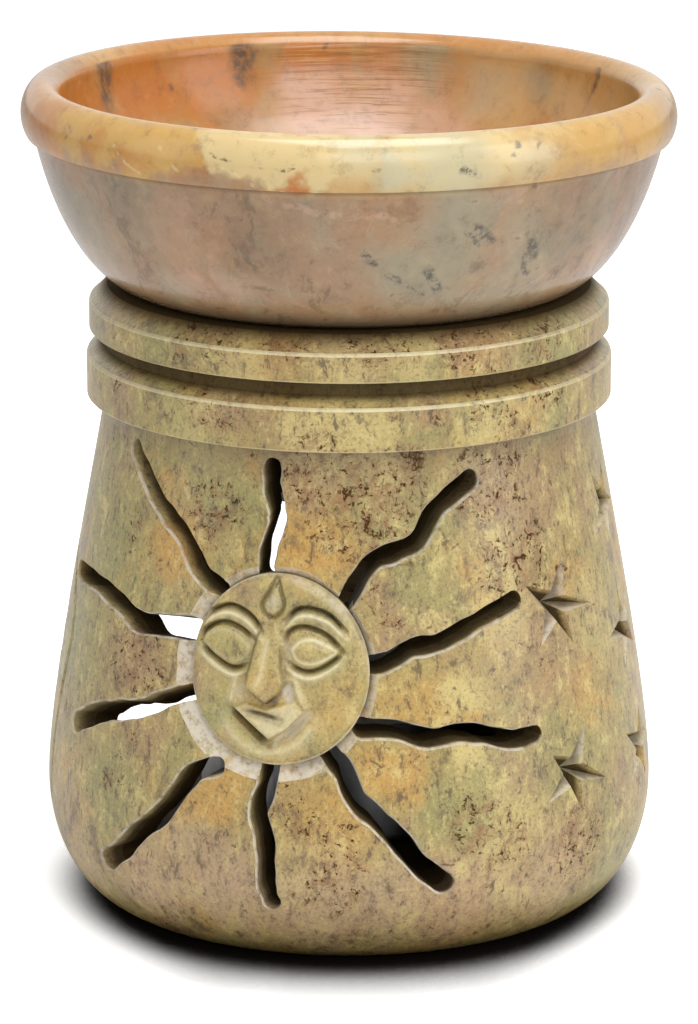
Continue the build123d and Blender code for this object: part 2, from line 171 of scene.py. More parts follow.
RIM_PATCHES = (
    ("peach", [(-30, 98, 7, 0.8), (-50, 98, 7, 0.7), (-100, 103, 14, 0.8), (-70, 98, 6, 0.7),
               (50, 98.5, 7, 0.6), (78, 100, 8, 0.5), (25, 98, 4, 0.5), (-84, 102, 6, 0.7)]),
    ("amber", [(-62, 103, 7, 0.5), (-48, 102, 5, 0.8), (-38, 102, 4, 0.8), (-7, 99.5, 2.6, 0.9),
               (-80, 103, 8, 0.4), (-28, 99.5, 4, 0.6), (-16, 99, 4, 0.6), (60, 103, 5, 0.4),
               (150, 104, 26, 0.6), (-150, 104, 26, 0.6)]),
    ("gold", [(-56, 103, 4.5, 0.8, 0.5), (-46, 103, 4, 0.9, 0.4), (-37, 102.5, 4, 0.95, 0.35),
              (-30, 103, 3, 0.8, 0.3), (48, 103, 5, 0.7, 0.5), (62, 103, 5, 0.6, 0.5),
              (-11, 100.5, 2.5, 0.8, 0.5)]),
    ("cream", [(-21, 103, 4, 0.95, 0.25), (-14, 102.5, 4, 1.0, 0.25), (-7, 103, 4.5, 1.0, 0.3),
               (14, 103, 7, 0.9), (26, 103, 5, 0.9), (0, 104, 5, 0.9)]),
    ("jade", [(8, 101, 4, 0.8), (18, 101, 6, 0.7), (2, 105, 4, 0.5), (33, 101, 4, 0.4)]),
    ("clay", [(-66, 98.5, 2.6, 0.7, 0.6), (-58, 98.2, 2.6, 0.75, 0.6), (-50, 98, 2.4, 0.75, 0.6),
              (-43, 97.8, 2.6, 0.8, 0.6), (-36, 97.6, 2.7, 0.8, 0.6), (-29, 97.5, 2.8, 0.85, 0.6),
              (-22, 97.5, 2.8, 0.85, 0.5), (-16, 97.4, 2.6, 0.85, 0.5), (-10, 97.3, 2.4, 0.8, 0.5),
              (-4, 97.0, 2.0, 0.6), (40, 97.4, 2.2, 0.5), (52, 98, 2.4, 0.5)]),
    ("amber", [(-8.5, 99.0, 2.3, 1.0, 0.6), (-40, 101, 2.2, 0.5, 0.6), (-70, 101.5, 3, 0.6, 0.6),
               (-62, 101.5, 2.6, 0.5, 0.6), (-48, 101, 2.2, 0.5, 0.6)]),
)
HOLLOW_PATCHES = (
    ("amber", [(-130, 99, 9, 1.0), (-148, 99, 8, 0.9), (-172, 101, 6, 1.0), (145, 99, 8, 0.6),
               (120, 101, 7, 0.6), (-110, 98, 9, 0.9), (-90, 97, 9, 0.8), (172, 101, 6, 0.8)]),
    # The rose patches low on the back of the hollow are a painted highlight
    ("rose", [(-172, 91, 9, 1.0), (174, 91, 9, 1.0), (160, 91, 8, 0.8), (-158, 91, 6, 0.8)]),
    ("honey", [(145, 98, 8, 0.8), (125, 99, 7, 0.8), (112, 98, 8, 0.6)]),
    ("sage", [(163, 101, 5, 0.6), (-152, 93, 5, 0.5), (136, 100, 3, 0.5), (150, 97, 5, 0.4)]),
)
# Veins and cracks, and one painted shadow line, as azimuth and height of their ends, with their width in
# millimetres
DARK_VEINS = [((-158, 103), (-157, 99), 2.6), ((-157, 99), (-156, 96), 1.4), ((118, 104), (119, 99), 1.0),
              ((-120, 103), (-118, 98), 2.4)]
DARK_DASHES = [((2, 91), (5, 89), 0.7), ((8, 87.5), (10, 86.5), 0.6), ((12, 85.5), (15, 84.5), 0.5),
               # The dash from azimuth -6 to 14 at the height of the rim's underside is a painted shadow line
               # under the rim
               ((35, 89), (38, 86), 0.8), ((22, 92.5), (25, 91), 0.6), ((-6, 98.6), (14, 98.4), 0.3),
               ((19, 100.6), (21, 100.0), 0.7), ((4.5, 101), (5.5, 101.2), 0.4),
               ((26.5, 104.8), (29.5, 104.6), 1.4), ((29, 104.4), (29.6, 103.4), 0.7),
               ((-58, 103.6), (-57, 102.4), 1.3), ((61, 104.2), (62, 103.4), 0.6),
               ((-53, 103.8), (-51, 99.6), 0.35), ((-37, 103.6), (-35.5, 100.4), 0.3),
               ((24, 93), (27, 91.5), 1.2), ((35, 91), (38, 88.5), 1.2), ((-9, 101.2), (-16, 101.0), 0.25),
               ((-16, 101.0), (-24, 102.6), 0.25), ((15, 88), (18, 85), 0.9)]
PALE_EDGES = [((-24, 103.6), (-22, 101.2), 0.45), ((-22, 101.2), (-18.5, 99.6), 0.45),
              ((-18.5, 99.6), (-14, 99.0), 0.45), ((-14, 99.0), (-9.5, 98.6), 0.45),
              ((-45, 104), (-43, 101.5), 0.5), ((-43, 101.5), (-38.5, 99.2), 0.4),
              ((-34, 102.6), (-30, 100.6), 0.4), ((34, 104.6), (30.5, 104.0), 0.5)]
PALE_CRACKS = [((-15, 98.0), (-11, 96.6), 0.6), ((-11, 96.6), (-5, 95.6), 0.7),
               ((-5, 95.6), (1, 95.2), 0.8), ((1, 95.2), (8, 95.1), 0.6)]


# Settings


def length(name, description, default):
    """Length with its default in millimetres."""
    return FloatProperty(name=name, description=description, default=default * MM, min=0.0,
                         subtype="DISTANCE")


def angle(name, description, default):
    """Angle with its default in degrees."""
    return FloatProperty(name=name, description=description, default=radians(default), subtype="ANGLE")


def level(name, description, default, unit="NONE"):
    """Level of a light, or with the unit POWER its power."""
    return FloatProperty(name=name, description=description, default=default, min=0.0, unit=unit)


def colour(name, description, default):
    """Colour as linear red, green and blue."""
    return FloatVectorProperty(name=name, description=description, default=default, min=0.0, max=1.0, size=3,
                               subtype="COLOR")


class BodySizes(PropertyGroup):
    """Sizes of the turned stone body."""

    belly_radius: length("Belly radius", "Widest radius of the body", 38.6)
    belly_height: length("Belly height", "Height of the widest point", 14.8)
    foot_reach: length("Foot curve reach", "How far the foot curve comes in", 9.6)
    foot_drop: length("Foot curve drop", "How far the foot curve drops", 15.1)
    neck_radius: length("Neck radius", "Radius under the collar", 31.1)
    neck_height: length("Neck height", "Height of the neck", 63.2)
    belly_handle: length("Belly handle", "Pull of the side curve at the belly", 10.0)
    neck_handle: length("Neck handle", "Pull of the side curve at the neck", 12.0)
    neck_flare: length("Neck flare", "How far the neck's handle stands out", 2.1)
    lower_ring_radius: length("Lower ring radius", "Radius of the lower collar ring", 33.1)
    lower_ring_height: length("Lower ring height", "Height of the lower collar ring", 6.8)
    lower_ring_drop: length("Lower shoulder", "Height of the lower ring's shoulder", 1.4)
    upper_ring_radius: length("Upper ring radius", "Radius of the upper collar ring", 32.75)
    upper_ring_drop: length("Upper shoulder", "Height of the upper ring's shoulder", 2.1)
    groove_radius: length("Groove radius", "Radius of the groove between the rings", 31.0)
    groove_width: length("Groove width", "Width of the groove between the rings", 1.75)
    ring_step: length("Ring step", "Neck left under the lower ring", 1.7)
    shoulder_radius: length("Shoulder radius", "Radius where the upper ring's shoulder starts", 30.45)
    ring_worn: length("Worn edge", "Width of the worn edges of the rings", 0.25)
    wall: length("Wall", "Thickness of the wall", 6.2)
    floor: length("Floor", "Thickness of the floor", 10.0)
    floor_round: length("Floor rounding", "Rounding between floor and wall", 4.0)
    mouth_radius: length("Mouth radius", "Radius of the mouth under the dish", 24.0)
    mouth_land: length("Mouth land", "Depth of the straight mouth", 9.0)
    height: length("Height", "Height of the body without its dish", BODY_HIGH.z / MM)
    steps: IntProperty(name="Steps", description="Facets round the body", default=288, min=32)


class CarvingSizes(PropertyGroup):
    """Sizes of the sun, the stars and the doorway."""

    sun_azimuth: angle("Sun azimuth", "Where the sun looks, from the front to the right", -14.5)
    sun_height: length("Sun height", "Height of the sun's centre", 38.0)
    face_radius: length("Face radius", "Radius of the sun's face", 11.6)
    margin_width: length("Margin", "Mean width of the scraped margin", 1.5)
    margin_swell: length("Margin swell", "How much wider the margin is at the lower left", 0.75)
    margin_depth: length("Margin depth", "Depth of the scraped margin", 0.95)
    ray_width: length("Ray width", "Width of the sawn rays", 2.35)
    edge_break: length("Edge break", "Width of the broken edge of a cut", 0.26)
    star_radius: length("Star radius", "Reach of a star's arms", 6.4)
    star_waist: length("Star waist", "Radius between a star's arms", 2.0)
    star_depth: length("Star depth", "Depth of a star's middle", 2.6)
    door_azimuth: angle("Doorway azimuth", "Where the doorway looks", -130.0)
    door_half_width: length("Doorway half width", "Half the doorway's width", 22.5)
    door_spring: length("Doorway spring", "Height of the doorway's straight sides", 23.0)
    door_rise: length("Doorway rise", "Rise of the doorway's arch", 13.0)
    foil_radius: length("Foil radius", "Radius of the scallops round the doorway", 2.7)
    foils: IntProperty(name="Foils", description="Scallops round the doorway", default=21, min=3)
    line_offset: length("Line offset", "Distance of the engraved line from the doorway", 7.1)
    line_width: length("Line width", "Width of the engraved line", 1.4)
    line_depth: length("Line depth", "Depth of the engraved line", 0.7)
    line_foot: length("Line foot", "Where the engraved line starts above the floor", 3.5)


class BowlSizes(PropertyGroup):
    """Sizes of the lift-off dish."""

    foot_radius: length("Foot radius", "Radius where the dish stands on the body", 27.5)
    foot_handle: length("Foot handle", "Pull of the side curve at the foot", 6.1)
    foot_lift: length("Foot lift", "Rise of the side curve's foot handle", 1.6)
    wall_radius: length("Wall radius", "Radius under the rim", 39.35)
    wall_height: length("Wall height", "Height of the wall under the rim", 19.2)
    wall_handle: length("Wall handle", "Pull of the side curve at the rim", 8.4)
    wall_flare: length("Wall flare", "How far the rim handle comes in", 1.75)
    rim_radius: length("Rim radius", "Radius of the rim's middle", 38.2)
    rim_half_width: length("Rim half width", "Half the rim's width", 2.77)
    rim_half_height: length("Rim half height", "Half the rim's height", 4.0)
    rim_rise: length("Rim rise", "Height of the rim's middle above the seat", 22.0)
    rim_step: length("Rim step", "Small step under the rim", 0.25)
    rim_lean: length("Rim lean", "How much lower the rim is at the back right", 1.3)
    lip_radius: length("Lip radius", "Inside radius of the rim", 36.0)
    floor: length("Floor", "Thickness of the floor", 5.5)
    inner_handle: length("Inner handle", "Pull of the inner curve at the lip", 14.5)
    inner_flare: length("Inner flare", "How far the lip handle comes in", 1.2)
    floor_handle: length("Floor handle", "Pull of the inner curve at the floor", 21.0)
    spigot_radius: length("Spigot radius", "Radius of the spigot in the mouth", 23.6)
    spigot_depth: length("Spigot depth", "Depth of the spigot", 2.5)
    spigot_round: length("Spigot rounding", "Rounding of the spigot", 1.2)
    steps: IntProperty(name="Steps", description="Facets round the dish", default=288, min=32)


class StoneColours(PropertyGroup):
    """Colours of the two stones."""

    khaki: colour("Khaki", "Main colour of the body", (0.400, 0.290, 0.100))
    olive: colour("Olive", "Green patches of the body", (0.310, 0.285, 0.095))
    ochre: colour("Ochre", "Warm patches of the body", (0.560, 0.310, 0.065))
    clay: colour("Clay", "Pinkish patches of the body", (0.370, 0.225, 0.115))
    straw: colour("Straw", "Light flecks of the body", (0.690, 0.550, 0.210))
    blush: colour("Blush", "Pale pinkish patches near the foot", (0.560, 0.385, 0.220))
    sallow: colour("Sallow", "Pale yellow over the face", (0.620, 0.530, 0.200))
    # Painted highlight on ridges and ring edges, partly rubbed wear
    rubbed_and_highlight: colour("Rubbed", "Light edges that are rubbed bare", (0.860, 0.770, 0.480))
    umber: colour("Umber", "Dark flecks of the stones", (0.100, 0.062, 0.030))
    rust: colour("Rust", "Iron specks", (0.070, 0.028, 0.006))
    ruddy: colour("Ruddy", "Brown stains round the specks", (0.270, 0.125, 0.042))
    dust: colour("Dust", "Freshly scraped stone", (0.700, 0.630, 0.510))
    # Dirt and painted shade in the face's creases
    grime_and_shade: colour("Grime", "Dirt in the cuts of the face", (0.040, 0.026, 0.010))
    # Painted shade, with some soot, deep inside the cuts
    soot_and_shade: colour("Gloom", "Stone deep inside the cuts", (0.050, 0.031, 0.013))
    peach: colour("Peach", "Main colour of the dish's wall", (0.360, 0.218, 0.120))
    amber: colour("Amber", "Orange patches of the dish", (0.500, 0.170, 0.025))
    honey: colour("Honey", "Main colour of the dish's rim", (0.560, 0.340, 0.120))
    gold: colour("Gold", "Yellow patches of the dish's rim", (0.610, 0.360, 0.090))
    cream: colour("Cream", "Light patches of the dish", (0.700, 0.530, 0.250))
    jade: colour("Jade", "Greenish cream of the dish's rim", (0.540, 0.510, 0.330))
    rose: colour("Rose", "Pale pink patches of the dish", (0.640, 0.400, 0.290))
    sage: colour("Sage", "Grey green clouds of the dish", (0.330, 0.290, 0.190))
    slate: colour("Slate", "Dark veins of the dish", (0.060, 0.055, 0.045))
    chip: colour("Chip", "Light lines along the chipped edges of the dish's colours", (0.860, 0.660, 0.360))


class StageLevels(PropertyGroup):
    """Levels of the studio."""

    world: level("Surround", "Level of the light from all round", 0.38)
    key: level("Key", "Power of the lamp above", 3.4, "POWER")
    left: level("Left", "Power of the left lamp", 0.38, "POWER")
    right: level("Right", "Power of the right lamp", 1.45, "POWER")
    front: level("Front", "Power of the front lamp", 1.7, "POWER")
    floor: colour("Floor", "Colour of the floor", (0.93, 0.93, 0.93))
    glow: level("Floor glow", "Level that lifts the floor to white", 0.6)
    shadow: colour("Shadow", "Colour of the floor close round the foot", (0.01, 0.008, 0.007))
    shadow_reach: length("Shadow reach", "How far the shadow under the foot spreads", 26.0)


# Shapes


def bezier(points, steps):
    """Points of a cubic curve drawn as radius and height."""
    t = np.linspace(0.0, 1.0, steps + 1)[:, None]
    a, b, c, d = (np.array(point) for point in points)
    line = (1 - t) ** 3 * a + 3 * t * (1 - t) ** 2 * b + 3 * t * t * (1 - t) * c + t ** 3 * d
    return [tuple(point) for point in line]


def arc(centre, reach, rise, start, stop, steps):
    """Points of an elliptical arc drawn as radius and height, with angles in degrees."""
    return [(centre[0] + reach * cos(angle), centre[1] + rise * sin(angle))
            for angle in np.radians(np.linspace(start, stop, steps + 1))]


def smooth_line(points, steps):
    """Smooth line through given points, as an array with steps points between each two."""
    points = np.array(points, float)
    padded = np.vstack([2 * points[0] - points[1], points, 2 * points[-1] - points[-2]])
    line = []
    for p0, p1, p2, p3 in zip(padded, padded[1:], padded[2:], padded[3:]):
        for t in np.arange(steps) / steps:
            line.append(0.5 * (2 * p1 + (p2 - p0) * t + (2 * p0 - 5 * p1 + 4 * p2 - p3) * t * t
                               + (3 * p1 - p0 - 3 * p2 + p3) * t ** 3))
    line.append(points[-1])
    return np.array(line)


def turned(outline, steps):
    """Shape spun round the upright axis from an outline of radius and height."""
    shape = bmesh.new()
    verts = [shape.verts.new((radius, 0.0, height)) for radius, height in outline]
    for below, above in zip(verts, verts[1:]):
        shape.edges.new((below, above))
    bmesh.ops.spin(shape, geom=shape.verts[:] + shape.edges[:], cent=(0, 0, 0), axis=(0, 0, 1),
                   dvec=(0, 0, 0), angle=2 * pi, steps=steps, use_merge=True, use_duplicate=False)
    bmesh.ops.remove_doubles(shape, verts=shape.verts, dist=SAME_PLACE)
    bmesh.ops.recalc_face_normals(shape, faces=shape.faces)
    return shape


def as_object(shape, name):
    """Object at the origin with the shape as its mesh."""
    mesh = bpy.data.meshes.new(name)
    shape.to_mesh(mesh)
    shape.free()
    piece = bpy.data.objects.new(name, mesh)
    bpy.context.scene.collection.objects.link(piece)
    return piece


def shade(piece, angle=35.0):
    """Smooth shading that keeps edges sharper than the angle and leaves flat bands flat."""
    piece.data.shade_smooth()
    piece.data.set_sharp_from_angle(angle=radians(angle))
    modifier = piece.modifiers.new("Flat bands", "WEIGHTED_NORMAL")
    modifier.keep_sharp = True


def cut(piece, shapes):
    """Cuts closed shapes that don't meet each other out of a piece."""
    joined = bmesh.new()
    for shape in shapes:
        bmesh.ops.recalc_face_normals(shape, faces=shape.faces)
        scrap = bpy.data.meshes.new("cutter")
        shape.to_mesh(scrap)
        shape.free()
        joined.from_mesh(scrap)
        bpy.data.meshes.remove(scrap)
    cutter = as_object(joined, "cutter")
    modifier = piece.modifiers.new("Cut", "BOOLEAN")
    modifier.operation = "DIFFERENCE"
    modifier.solver = "EXACT"
    modifier.object = cutter
    graph = bpy.context.evaluated_depsgraph_get()
    mesh = bpy.data.meshes.new_from_object(piece.evaluated_get(graph))
    piece.modifiers.clear()
    blank = piece.data
    piece.data = mesh
    bpy.data.meshes.remove(blank)
    bpy.data.meshes.remove(cutter.data)


def measured(items, name):
    """Vector of each of a mesh's points or faces, as three rows of numbers."""
    values = np.empty(len(items) * 3, np.float32)
    items.foreach_get(name, values)
    return values.reshape(-1, 3).T


def store(mesh, name, domain, values):
    """Stores a number on each of a mesh's points or faces, for the finish."""
    mesh.attributes.new(name, "FLOAT", domain).data.foreach_set("value", values.astype(np.float32))


def new_verts(made):
    """Points among what an operation made."""
    return [item for item in made if isinstance(item, bmesh.types.BMVert)]


class Wall:
    """Outside of the carved wall, as radius over height."""

    def __init__(self, sizes):
        foot = degrees(asin(sizes.belly_height / sizes.foot_drop))
        centre = sizes.belly_radius - sizes.foot_reach, sizes.belly_height
        self.foot = arc(centre, sizes.foot_reach, sizes.foot_drop, -foot, 0, 26)
        self.handles = [
            (sizes.belly_radius, sizes.belly_height),
            (sizes.belly_radius, sizes.belly_height + sizes.belly_handle),
            (sizes.neck_radius + sizes.neck_flare, sizes.neck_height - sizes.neck_handle),
            (sizes.neck_radius, sizes.neck_height),
        ]
        self.side = bezier(self.handles, 64)
        fine = arc(centre, sizes.foot_reach, sizes.foot_drop, -foot, 0, 200) + bezier(self.handles, 400)[1:]
        self.radii, self.heights = np.array(fine).T

    def radius(self, height):
        """Radius of the wall at a height."""
        return np.interp(height, self.heights, self.radii)

    def wrap(self, shape, azimuth, height):
        """Wraps a shape drawn flat, as sideways, up and out, round the wall with its origin at a place."""
        scale = self.radius(height)
        for vert in shape.verts:
            sideways, up, out = vert.co
            turn = azimuth + sideways / scale
            radius = self.radius(height + up) + out
            vert.co = radius * sin(turn), -radius * cos(turn), height + up
        return shape


def pushed(shape, faces, first=False):
    """Extrudes a region and returns what is new. The faces it started from go, unless they are first."""
    made = bmesh.ops.extrude_face_region(shape, geom=faces)["geom"]
    if not first:
        bmesh.ops.delete(shape, geom=[face for face in faces if face.is_valid], context="FACES")
    return new_verts(made), [item for item in made if isinstance(item, bmesh.types.BMFace)]


def rounded(line, half):
    """Adds half-round ends to a line and its half widths."""
    first, last = line[0] - line[1], line[-1] - line[-2]
    first, last = first / np.linalg.norm(first), last / np.linalg.norm(last)
    turns = np.radians((28, 52, 72, 86))
    start = [line[0] + first * half[0] * sin(turn) for turn in turns[::-1]]
    stop = [line[-1] + last * half[-1] * sin(turn) for turn in turns]
    halves = [half[0] * np.cos(turns[::-1]), half, half[-1] * np.cos(turns)]
    return np.vstack([start, line, stop]), np.concatenate(halves)


def strip(line, half, layers, leans=None):
    """Closed flat-drawn band along a line. Each layer gives its height at the edges, its height in the
    middle and how much wider than the band it is. Leans gives the sideways shift for each unit of depth."""
    shape = bmesh.new()
    shape.verts.layers.int.new("along")
    shape.verts.layers.int.new("side")
    along, side = shape.verts.layers.int["along"], shape.verts.layers.int["side"]
    count = len(line) - 1
    bmesh.ops.create_grid(shape, x_segments=count, y_segments=2, size=1.0)
    for vert in shape.verts:
        vert[along] = round((vert.co.x + 1) / 2 * count)
        vert[side] = round(vert.co.y)
    slope = np.gradient(line, axis=0)
    slope /= np.linalg.norm(slope, axis=1)[:, None]
    verts, faces = shape.verts[:], shape.faces[:]
    for number, (edge, middle, wider) in enumerate(layers):
        if number:
            verts, faces = pushed(shape, faces, first=number == 1)
        for vert in verts:
            place, lean = vert[along], vert[side]
            width = half[place] + wider * min(1.0, half[place] / half.max())
            across = np.array((-slope[place][1], slope[place][0])) * lean * width
            x, y = line[place] + across
            if leans is not None and middle < 0:
                x, y = np.array((x, y)) - leans[place] * middle
            vert.co = x, y, edge if lean else middle
    bmesh.ops.recalc_face_normals(shape, faces=shape.faces)
    return shape


# Stone body


def ring(radius, inner, low, high, drop, worn):
    """Outline of one collar ring: flat below, an upright band and a sloping shoulder, with worn edges."""
    edge = high - drop
    return [(radius - worn, low), (radius, low + worn), (radius, edge - worn), (radius - 0.3 * worn, edge),
            (radius - 1.2 * worn, edge + 0.7 * worn), (inner, high)]


def rings(sizes):
    """Radius, radius above it, underside, top and height of the shoulder of both collar rings."""
    low = sizes.neck_height + sizes.ring_step
    top = low + sizes.lower_ring_height
    return ((sizes.lower_ring_radius, sizes.groove_radius, low, top, sizes.lower_ring_drop),
            (sizes.upper_ring_radius, sizes.shoulder_radius, top + sizes.groove_width, sizes.height,
             sizes.upper_ring_drop))


def body_outline(sizes, wall):
    """Outline of the turned body from the middle of its base round to the middle of its floor."""
    lower, upper = rings(sizes)
    line = [(0.0, 0.0)] + wall.foot + wall.side[1:] + [(sizes.neck_radius, lower[2])]
    line += ring(*lower, sizes.ring_worn) + [(sizes.groove_radius, upper[2])] + ring(*upper, sizes.ring_worn)
    line += [(sizes.mouth_radius, sizes.height), (sizes.mouth_radius, sizes.height - sizes.mouth_land)]
    line += bezier([(radius - sizes.wall, height) for radius, height in wall.handles], 32)[::-1]
    corner = sizes.belly_radius - sizes.wall - sizes.floor_round, sizes.belly_height
    line += arc(corner, sizes.floor_round, sizes.belly_height - sizes.floor, 0, -90, 8)[1:]
    return line + [(0.0, sizes.floor)]


def margin_width(carving, bearing):
    """Width of the scraped margin at a bearing round the face, widest at the lower left."""
    swell = carving.margin_swell * cos(bearing - LOWER_LEFT)
    ragged = 0.14 * sin(5 * bearing + 1.0) + 0.10 * sin(11 * bearing + 0.4) + 0.05 * sin(23 * bearing)
    return carving.margin_width + swell + ragged * carving.margin_width * 0.6


def margin_cutter(wall, carving):
    """Seat of the face, with the scraped margin sloping down to it."""
    shape = bmesh.new()
    bmesh.ops.create_circle(shape, cap_ends=True, segments=144, radius=carving.face_radius)
    turns = shape.verts.layers.float.new("bearing")
    for vert in shape.verts:
        vert[turns] = atan2(vert.co.y, vert.co.x)
    deep = carving.margin_depth
    layers = (1.0 * MM, 1.5), (0.0, 1.0), (-0.8 * deep, 0.35), (-deep, 0.06), (-deep * 1.5, -0.12)
    verts, faces = shape.verts[:], shape.faces[:]
    first = faces[0]
    for number, (out, share) in enumerate(layers):
        if number:
            verts, faces = pushed(shape, faces, first=number == 1)
        for vert in verts:
            width = 1.2 * MM if share < 0.2 else margin_width(carving, vert[turns])
            reach = carving.face_radius + share * width
            vert.co = reach * cos(vert[turns]), reach * sin(vert[turns]), out
    for cap in (first, faces[0]):
        for _ in range(4):
            bmesh.ops.inset_individual(shape, faces=[cap], thickness=2.6 * MM)
    return wall.wrap(shape, carving.sun_azimuth, carving.sun_height)


def ray_cutter(wall, carving, thickness, number):
    """One sawn ray, with broken edges and the waver of a hand-held saw."""
    points, inner_share, outer_share = RAYS[number]
    line = smooth_line(np.array(points) * MM, 5)
    along = np.linspace(0, 1, len(line))
    seed = points[0][0] + points[-1][1]
    waver = 1 + 0.05 * np.sin(23 * along + seed) + 0.04 * np.sin(41 * along + 2 * seed)
    half = carving.ray_width / 2 * waver * (inner_share + (outer_share - inner_share) * along)
    line, half = rounded(line, half)
    broken = carving.edge_break
    depths = ((0.9 * MM, 3.0 * broken), (0.02 * MM, broken), (-1.3 * broken, 0.0), (-3.2 * MM, -0.04 * MM),
              (-10.5 * MM, 0.0))
    layers = [(depth, depth, wider) for depth, wider in depths]
    inner, outer = np.array(RAY_LEANS.get(number, ((0, 0), (0, 0)))) * MM / thickness
    leans = inner + (outer - inner) * np.linspace(0, 1, len(line))[:, None]
    return wall.wrap(strip(line, half, layers, leans), carving.sun_azimuth, carving.sun_height)


def star_cutter(wall, carving, azimuth, height, tips):
    """One chip-carved star whose arms deepen to a point in the middle."""
    shape = bmesh.new()
    bmesh.ops.create_circle(shape, cap_ends=True, segments=10, radius=1.0)
    corners = []
    for tip, following in zip(tips, tips[1:] + tips[:1]):
        middle = (tip.normalized() + following.normalized()).normalized()
        corners += [tip, middle * carving.star_waist]
    above = 1.1
    for vert, corner in zip(shape.verts, corners):
        vert.co = corner.x * above, corner.y * above, 0.7 * MM
    faces = shape.faces[:]
    for number, (scale, out) in enumerate(((1.0 / above, 0.05 * MM), (0.02, -carving.star_depth))):
        verts, faces = pushed(shape, faces, first=number == 0)
        for vert in verts:
            vert.co = vert.co.x * scale, vert.co.y * scale, out
    bmesh.ops.remove_doubles(shape, verts=shape.verts, dist=SAME_PLACE)
    return wall.wrap(shape, azimuth, height)


def star_places():
    """Azimuth in degrees and height in millimetres of each star, by column and row."""
    places = {}
    for column in range(5):
        for row, height in enumerate((21.0, 36.5, 52.3) if column % 2 else (22.4, 43.2)):
            places[column, row] = 47.2 + 28 * column, height
    return places


def star_cutters(wall, carving):
    """Stars in columns of two and three round the right side and the back."""
    shapes = []
    for (column, row), (azimuth, height) in star_places().items():
        tips = [Vector((x * MM, y * MM)) for x, y in STAR_TIPS.get((column, row), ())]
        if not tips:
            turn = radians(14 * (column + 2 * row - 2) + 18)
            for arm in range(5):
                angle = turn + arm * 2 * pi / 5 + 0.12 * sin(3 * arm + column)
                reach = carving.star_radius * (0.9 + 0.14 * sin(2.3 * arm + row + 2 * column))
                tips.append(Vector((reach * cos(angle), reach * sin(angle))))
        shapes.append(star_cutter(wall, carving, radians(azimuth), height * MM, tips))
    return shapes


def door_prism(carving, shape):
    """Turns a shape drawn as sideways, up and out to look along the doorway's azimuth."""
    turn = carving.door_azimuth
    facing = Matrix(((cos(turn), 0, sin(turn)), (sin(turn), 0, -cos(turn)), (0, 1, 0))).to_4x4()
    bmesh.ops.transform(shape, matrix=facing, verts=shape.verts)
    return shape


def door_point(carving, share, offset=0.0):
    """Point of the doorway's edge, share from 0 at one foot to 1 at the other, moved out by offset."""
    half, rise, spring = carving.door_half_width + offset, carving.door_rise + offset, carving.door_spring
    bend = pi * (3 * (half + rise) - sqrt((3 * half + rise) * (half + 3 * rise))) / 2
    total = 2 * spring + bend
    gone = share * total
    if gone < spring:
        return -half, gone
    if gone > total - spring:
        return half, total - gone
    angle = pi * (1 - (gone - spring) / bend)
    return half * cos(angle), spring + rise * sin(angle)


def door_cutters(sizes, carving):
    """Arched doorway and its scallops, as sets that don't overlap within themselves."""
    reach, start = sizes.belly_radius + 2 * MM, 4 * MM
    arch = bmesh.new()
    bmesh.ops.create_circle(arch, cap_ends=True, segments=96, radius=1.0)
    for vert in arch.verts:
        up = carving.door_spring + carving.door_rise * vert.co.y if vert.co.y > -1e-4 else 0.0
        vert.co = vert.co.x * carving.door_half_width, sizes.floor + up, start
    verts, _ = pushed(arch, arch.faces[:], first=True)
    bmesh.ops.translate(arch, verts=verts, vec=(0, 0, reach - start))
    sets = [[door_prism(carving, arch)], [], []]
    radius, inner = carving.foil_radius, 10 * MM
    for foil in range(carving.foils):
        x, up = door_point(carving, (foil + 0.5) / carving.foils)
        if up < radius:
            continue
        scallop = bmesh.new()
        place = Matrix.Translation((x, sizes.floor + up, (reach + inner) / 2))
        bmesh.ops.create_cone(scallop, cap_ends=True, segments=28, radius1=radius, radius2=radius,
                              depth=reach - inner, matrix=place)
        sets[1 + foil % 2].append(door_prism(carving, scallop))
    return sets


def door_line_cutter(wall, sizes, carving):
    """Engraved line round the doorway, cut with a pointed tool."""
    foot = sizes.floor + carving.line_foot
    scale = wall.radius(carving.sun_height)
    line = []
    for share in np.linspace(0, 1, 120):
        x, up = door_point(carving, share, carving.line_offset)
        height = sizes.floor + up
        if height >= foot:
            line.append((asin(x / wall.radius(height)) * scale, height - carving.sun_height))
    line = np.array(line)
    half = np.full(len(line), carving.line_width / 2)
    half *= 1 + 0.1 * np.sin(np.linspace(0, 60, len(line)))
    line, half = rounded(line, half)
    layers = ((0.5 * MM, 0.5 * MM, 0.35 * MM), (0.02 * MM, -carving.line_depth, 0.0))
    return wall.wrap(strip(line, half, layers), carving.door_azimuth, carving.sun_height)


def near_star(x, y, z, wall):
    """Tells which points lie in a star."""
    near = np.zeros(len(x), bool)
    for azimuth, height in star_places().values():
        centre = on_stone(azimuth, height, wall.radius(height * MM))
        near |= (x - centre.x) ** 2 + (y - centre.y) ** 2 + (z - centre.z) ** 2 < STAR_REACH ** 2
    return near


def near_door(x, y, carving):
    """Tells which points lie on the doorway's side."""
    return np.abs(np.arctan2(x, -y) - carving.door_azimuth) < DOOR_SIDE


def from_face(x, y, z, wall, carving):
    """Turn from the sun, way sideways and up from its centre, and distance from the edge of its face."""
    turn = np.arctan2(x, -y) - carving.sun_azimuth
    across, up = turn * wall.radius(carving.sun_height), z - carving.sun_height
    return turn, across, up, np.hypot(across, up) - carving.face_radius


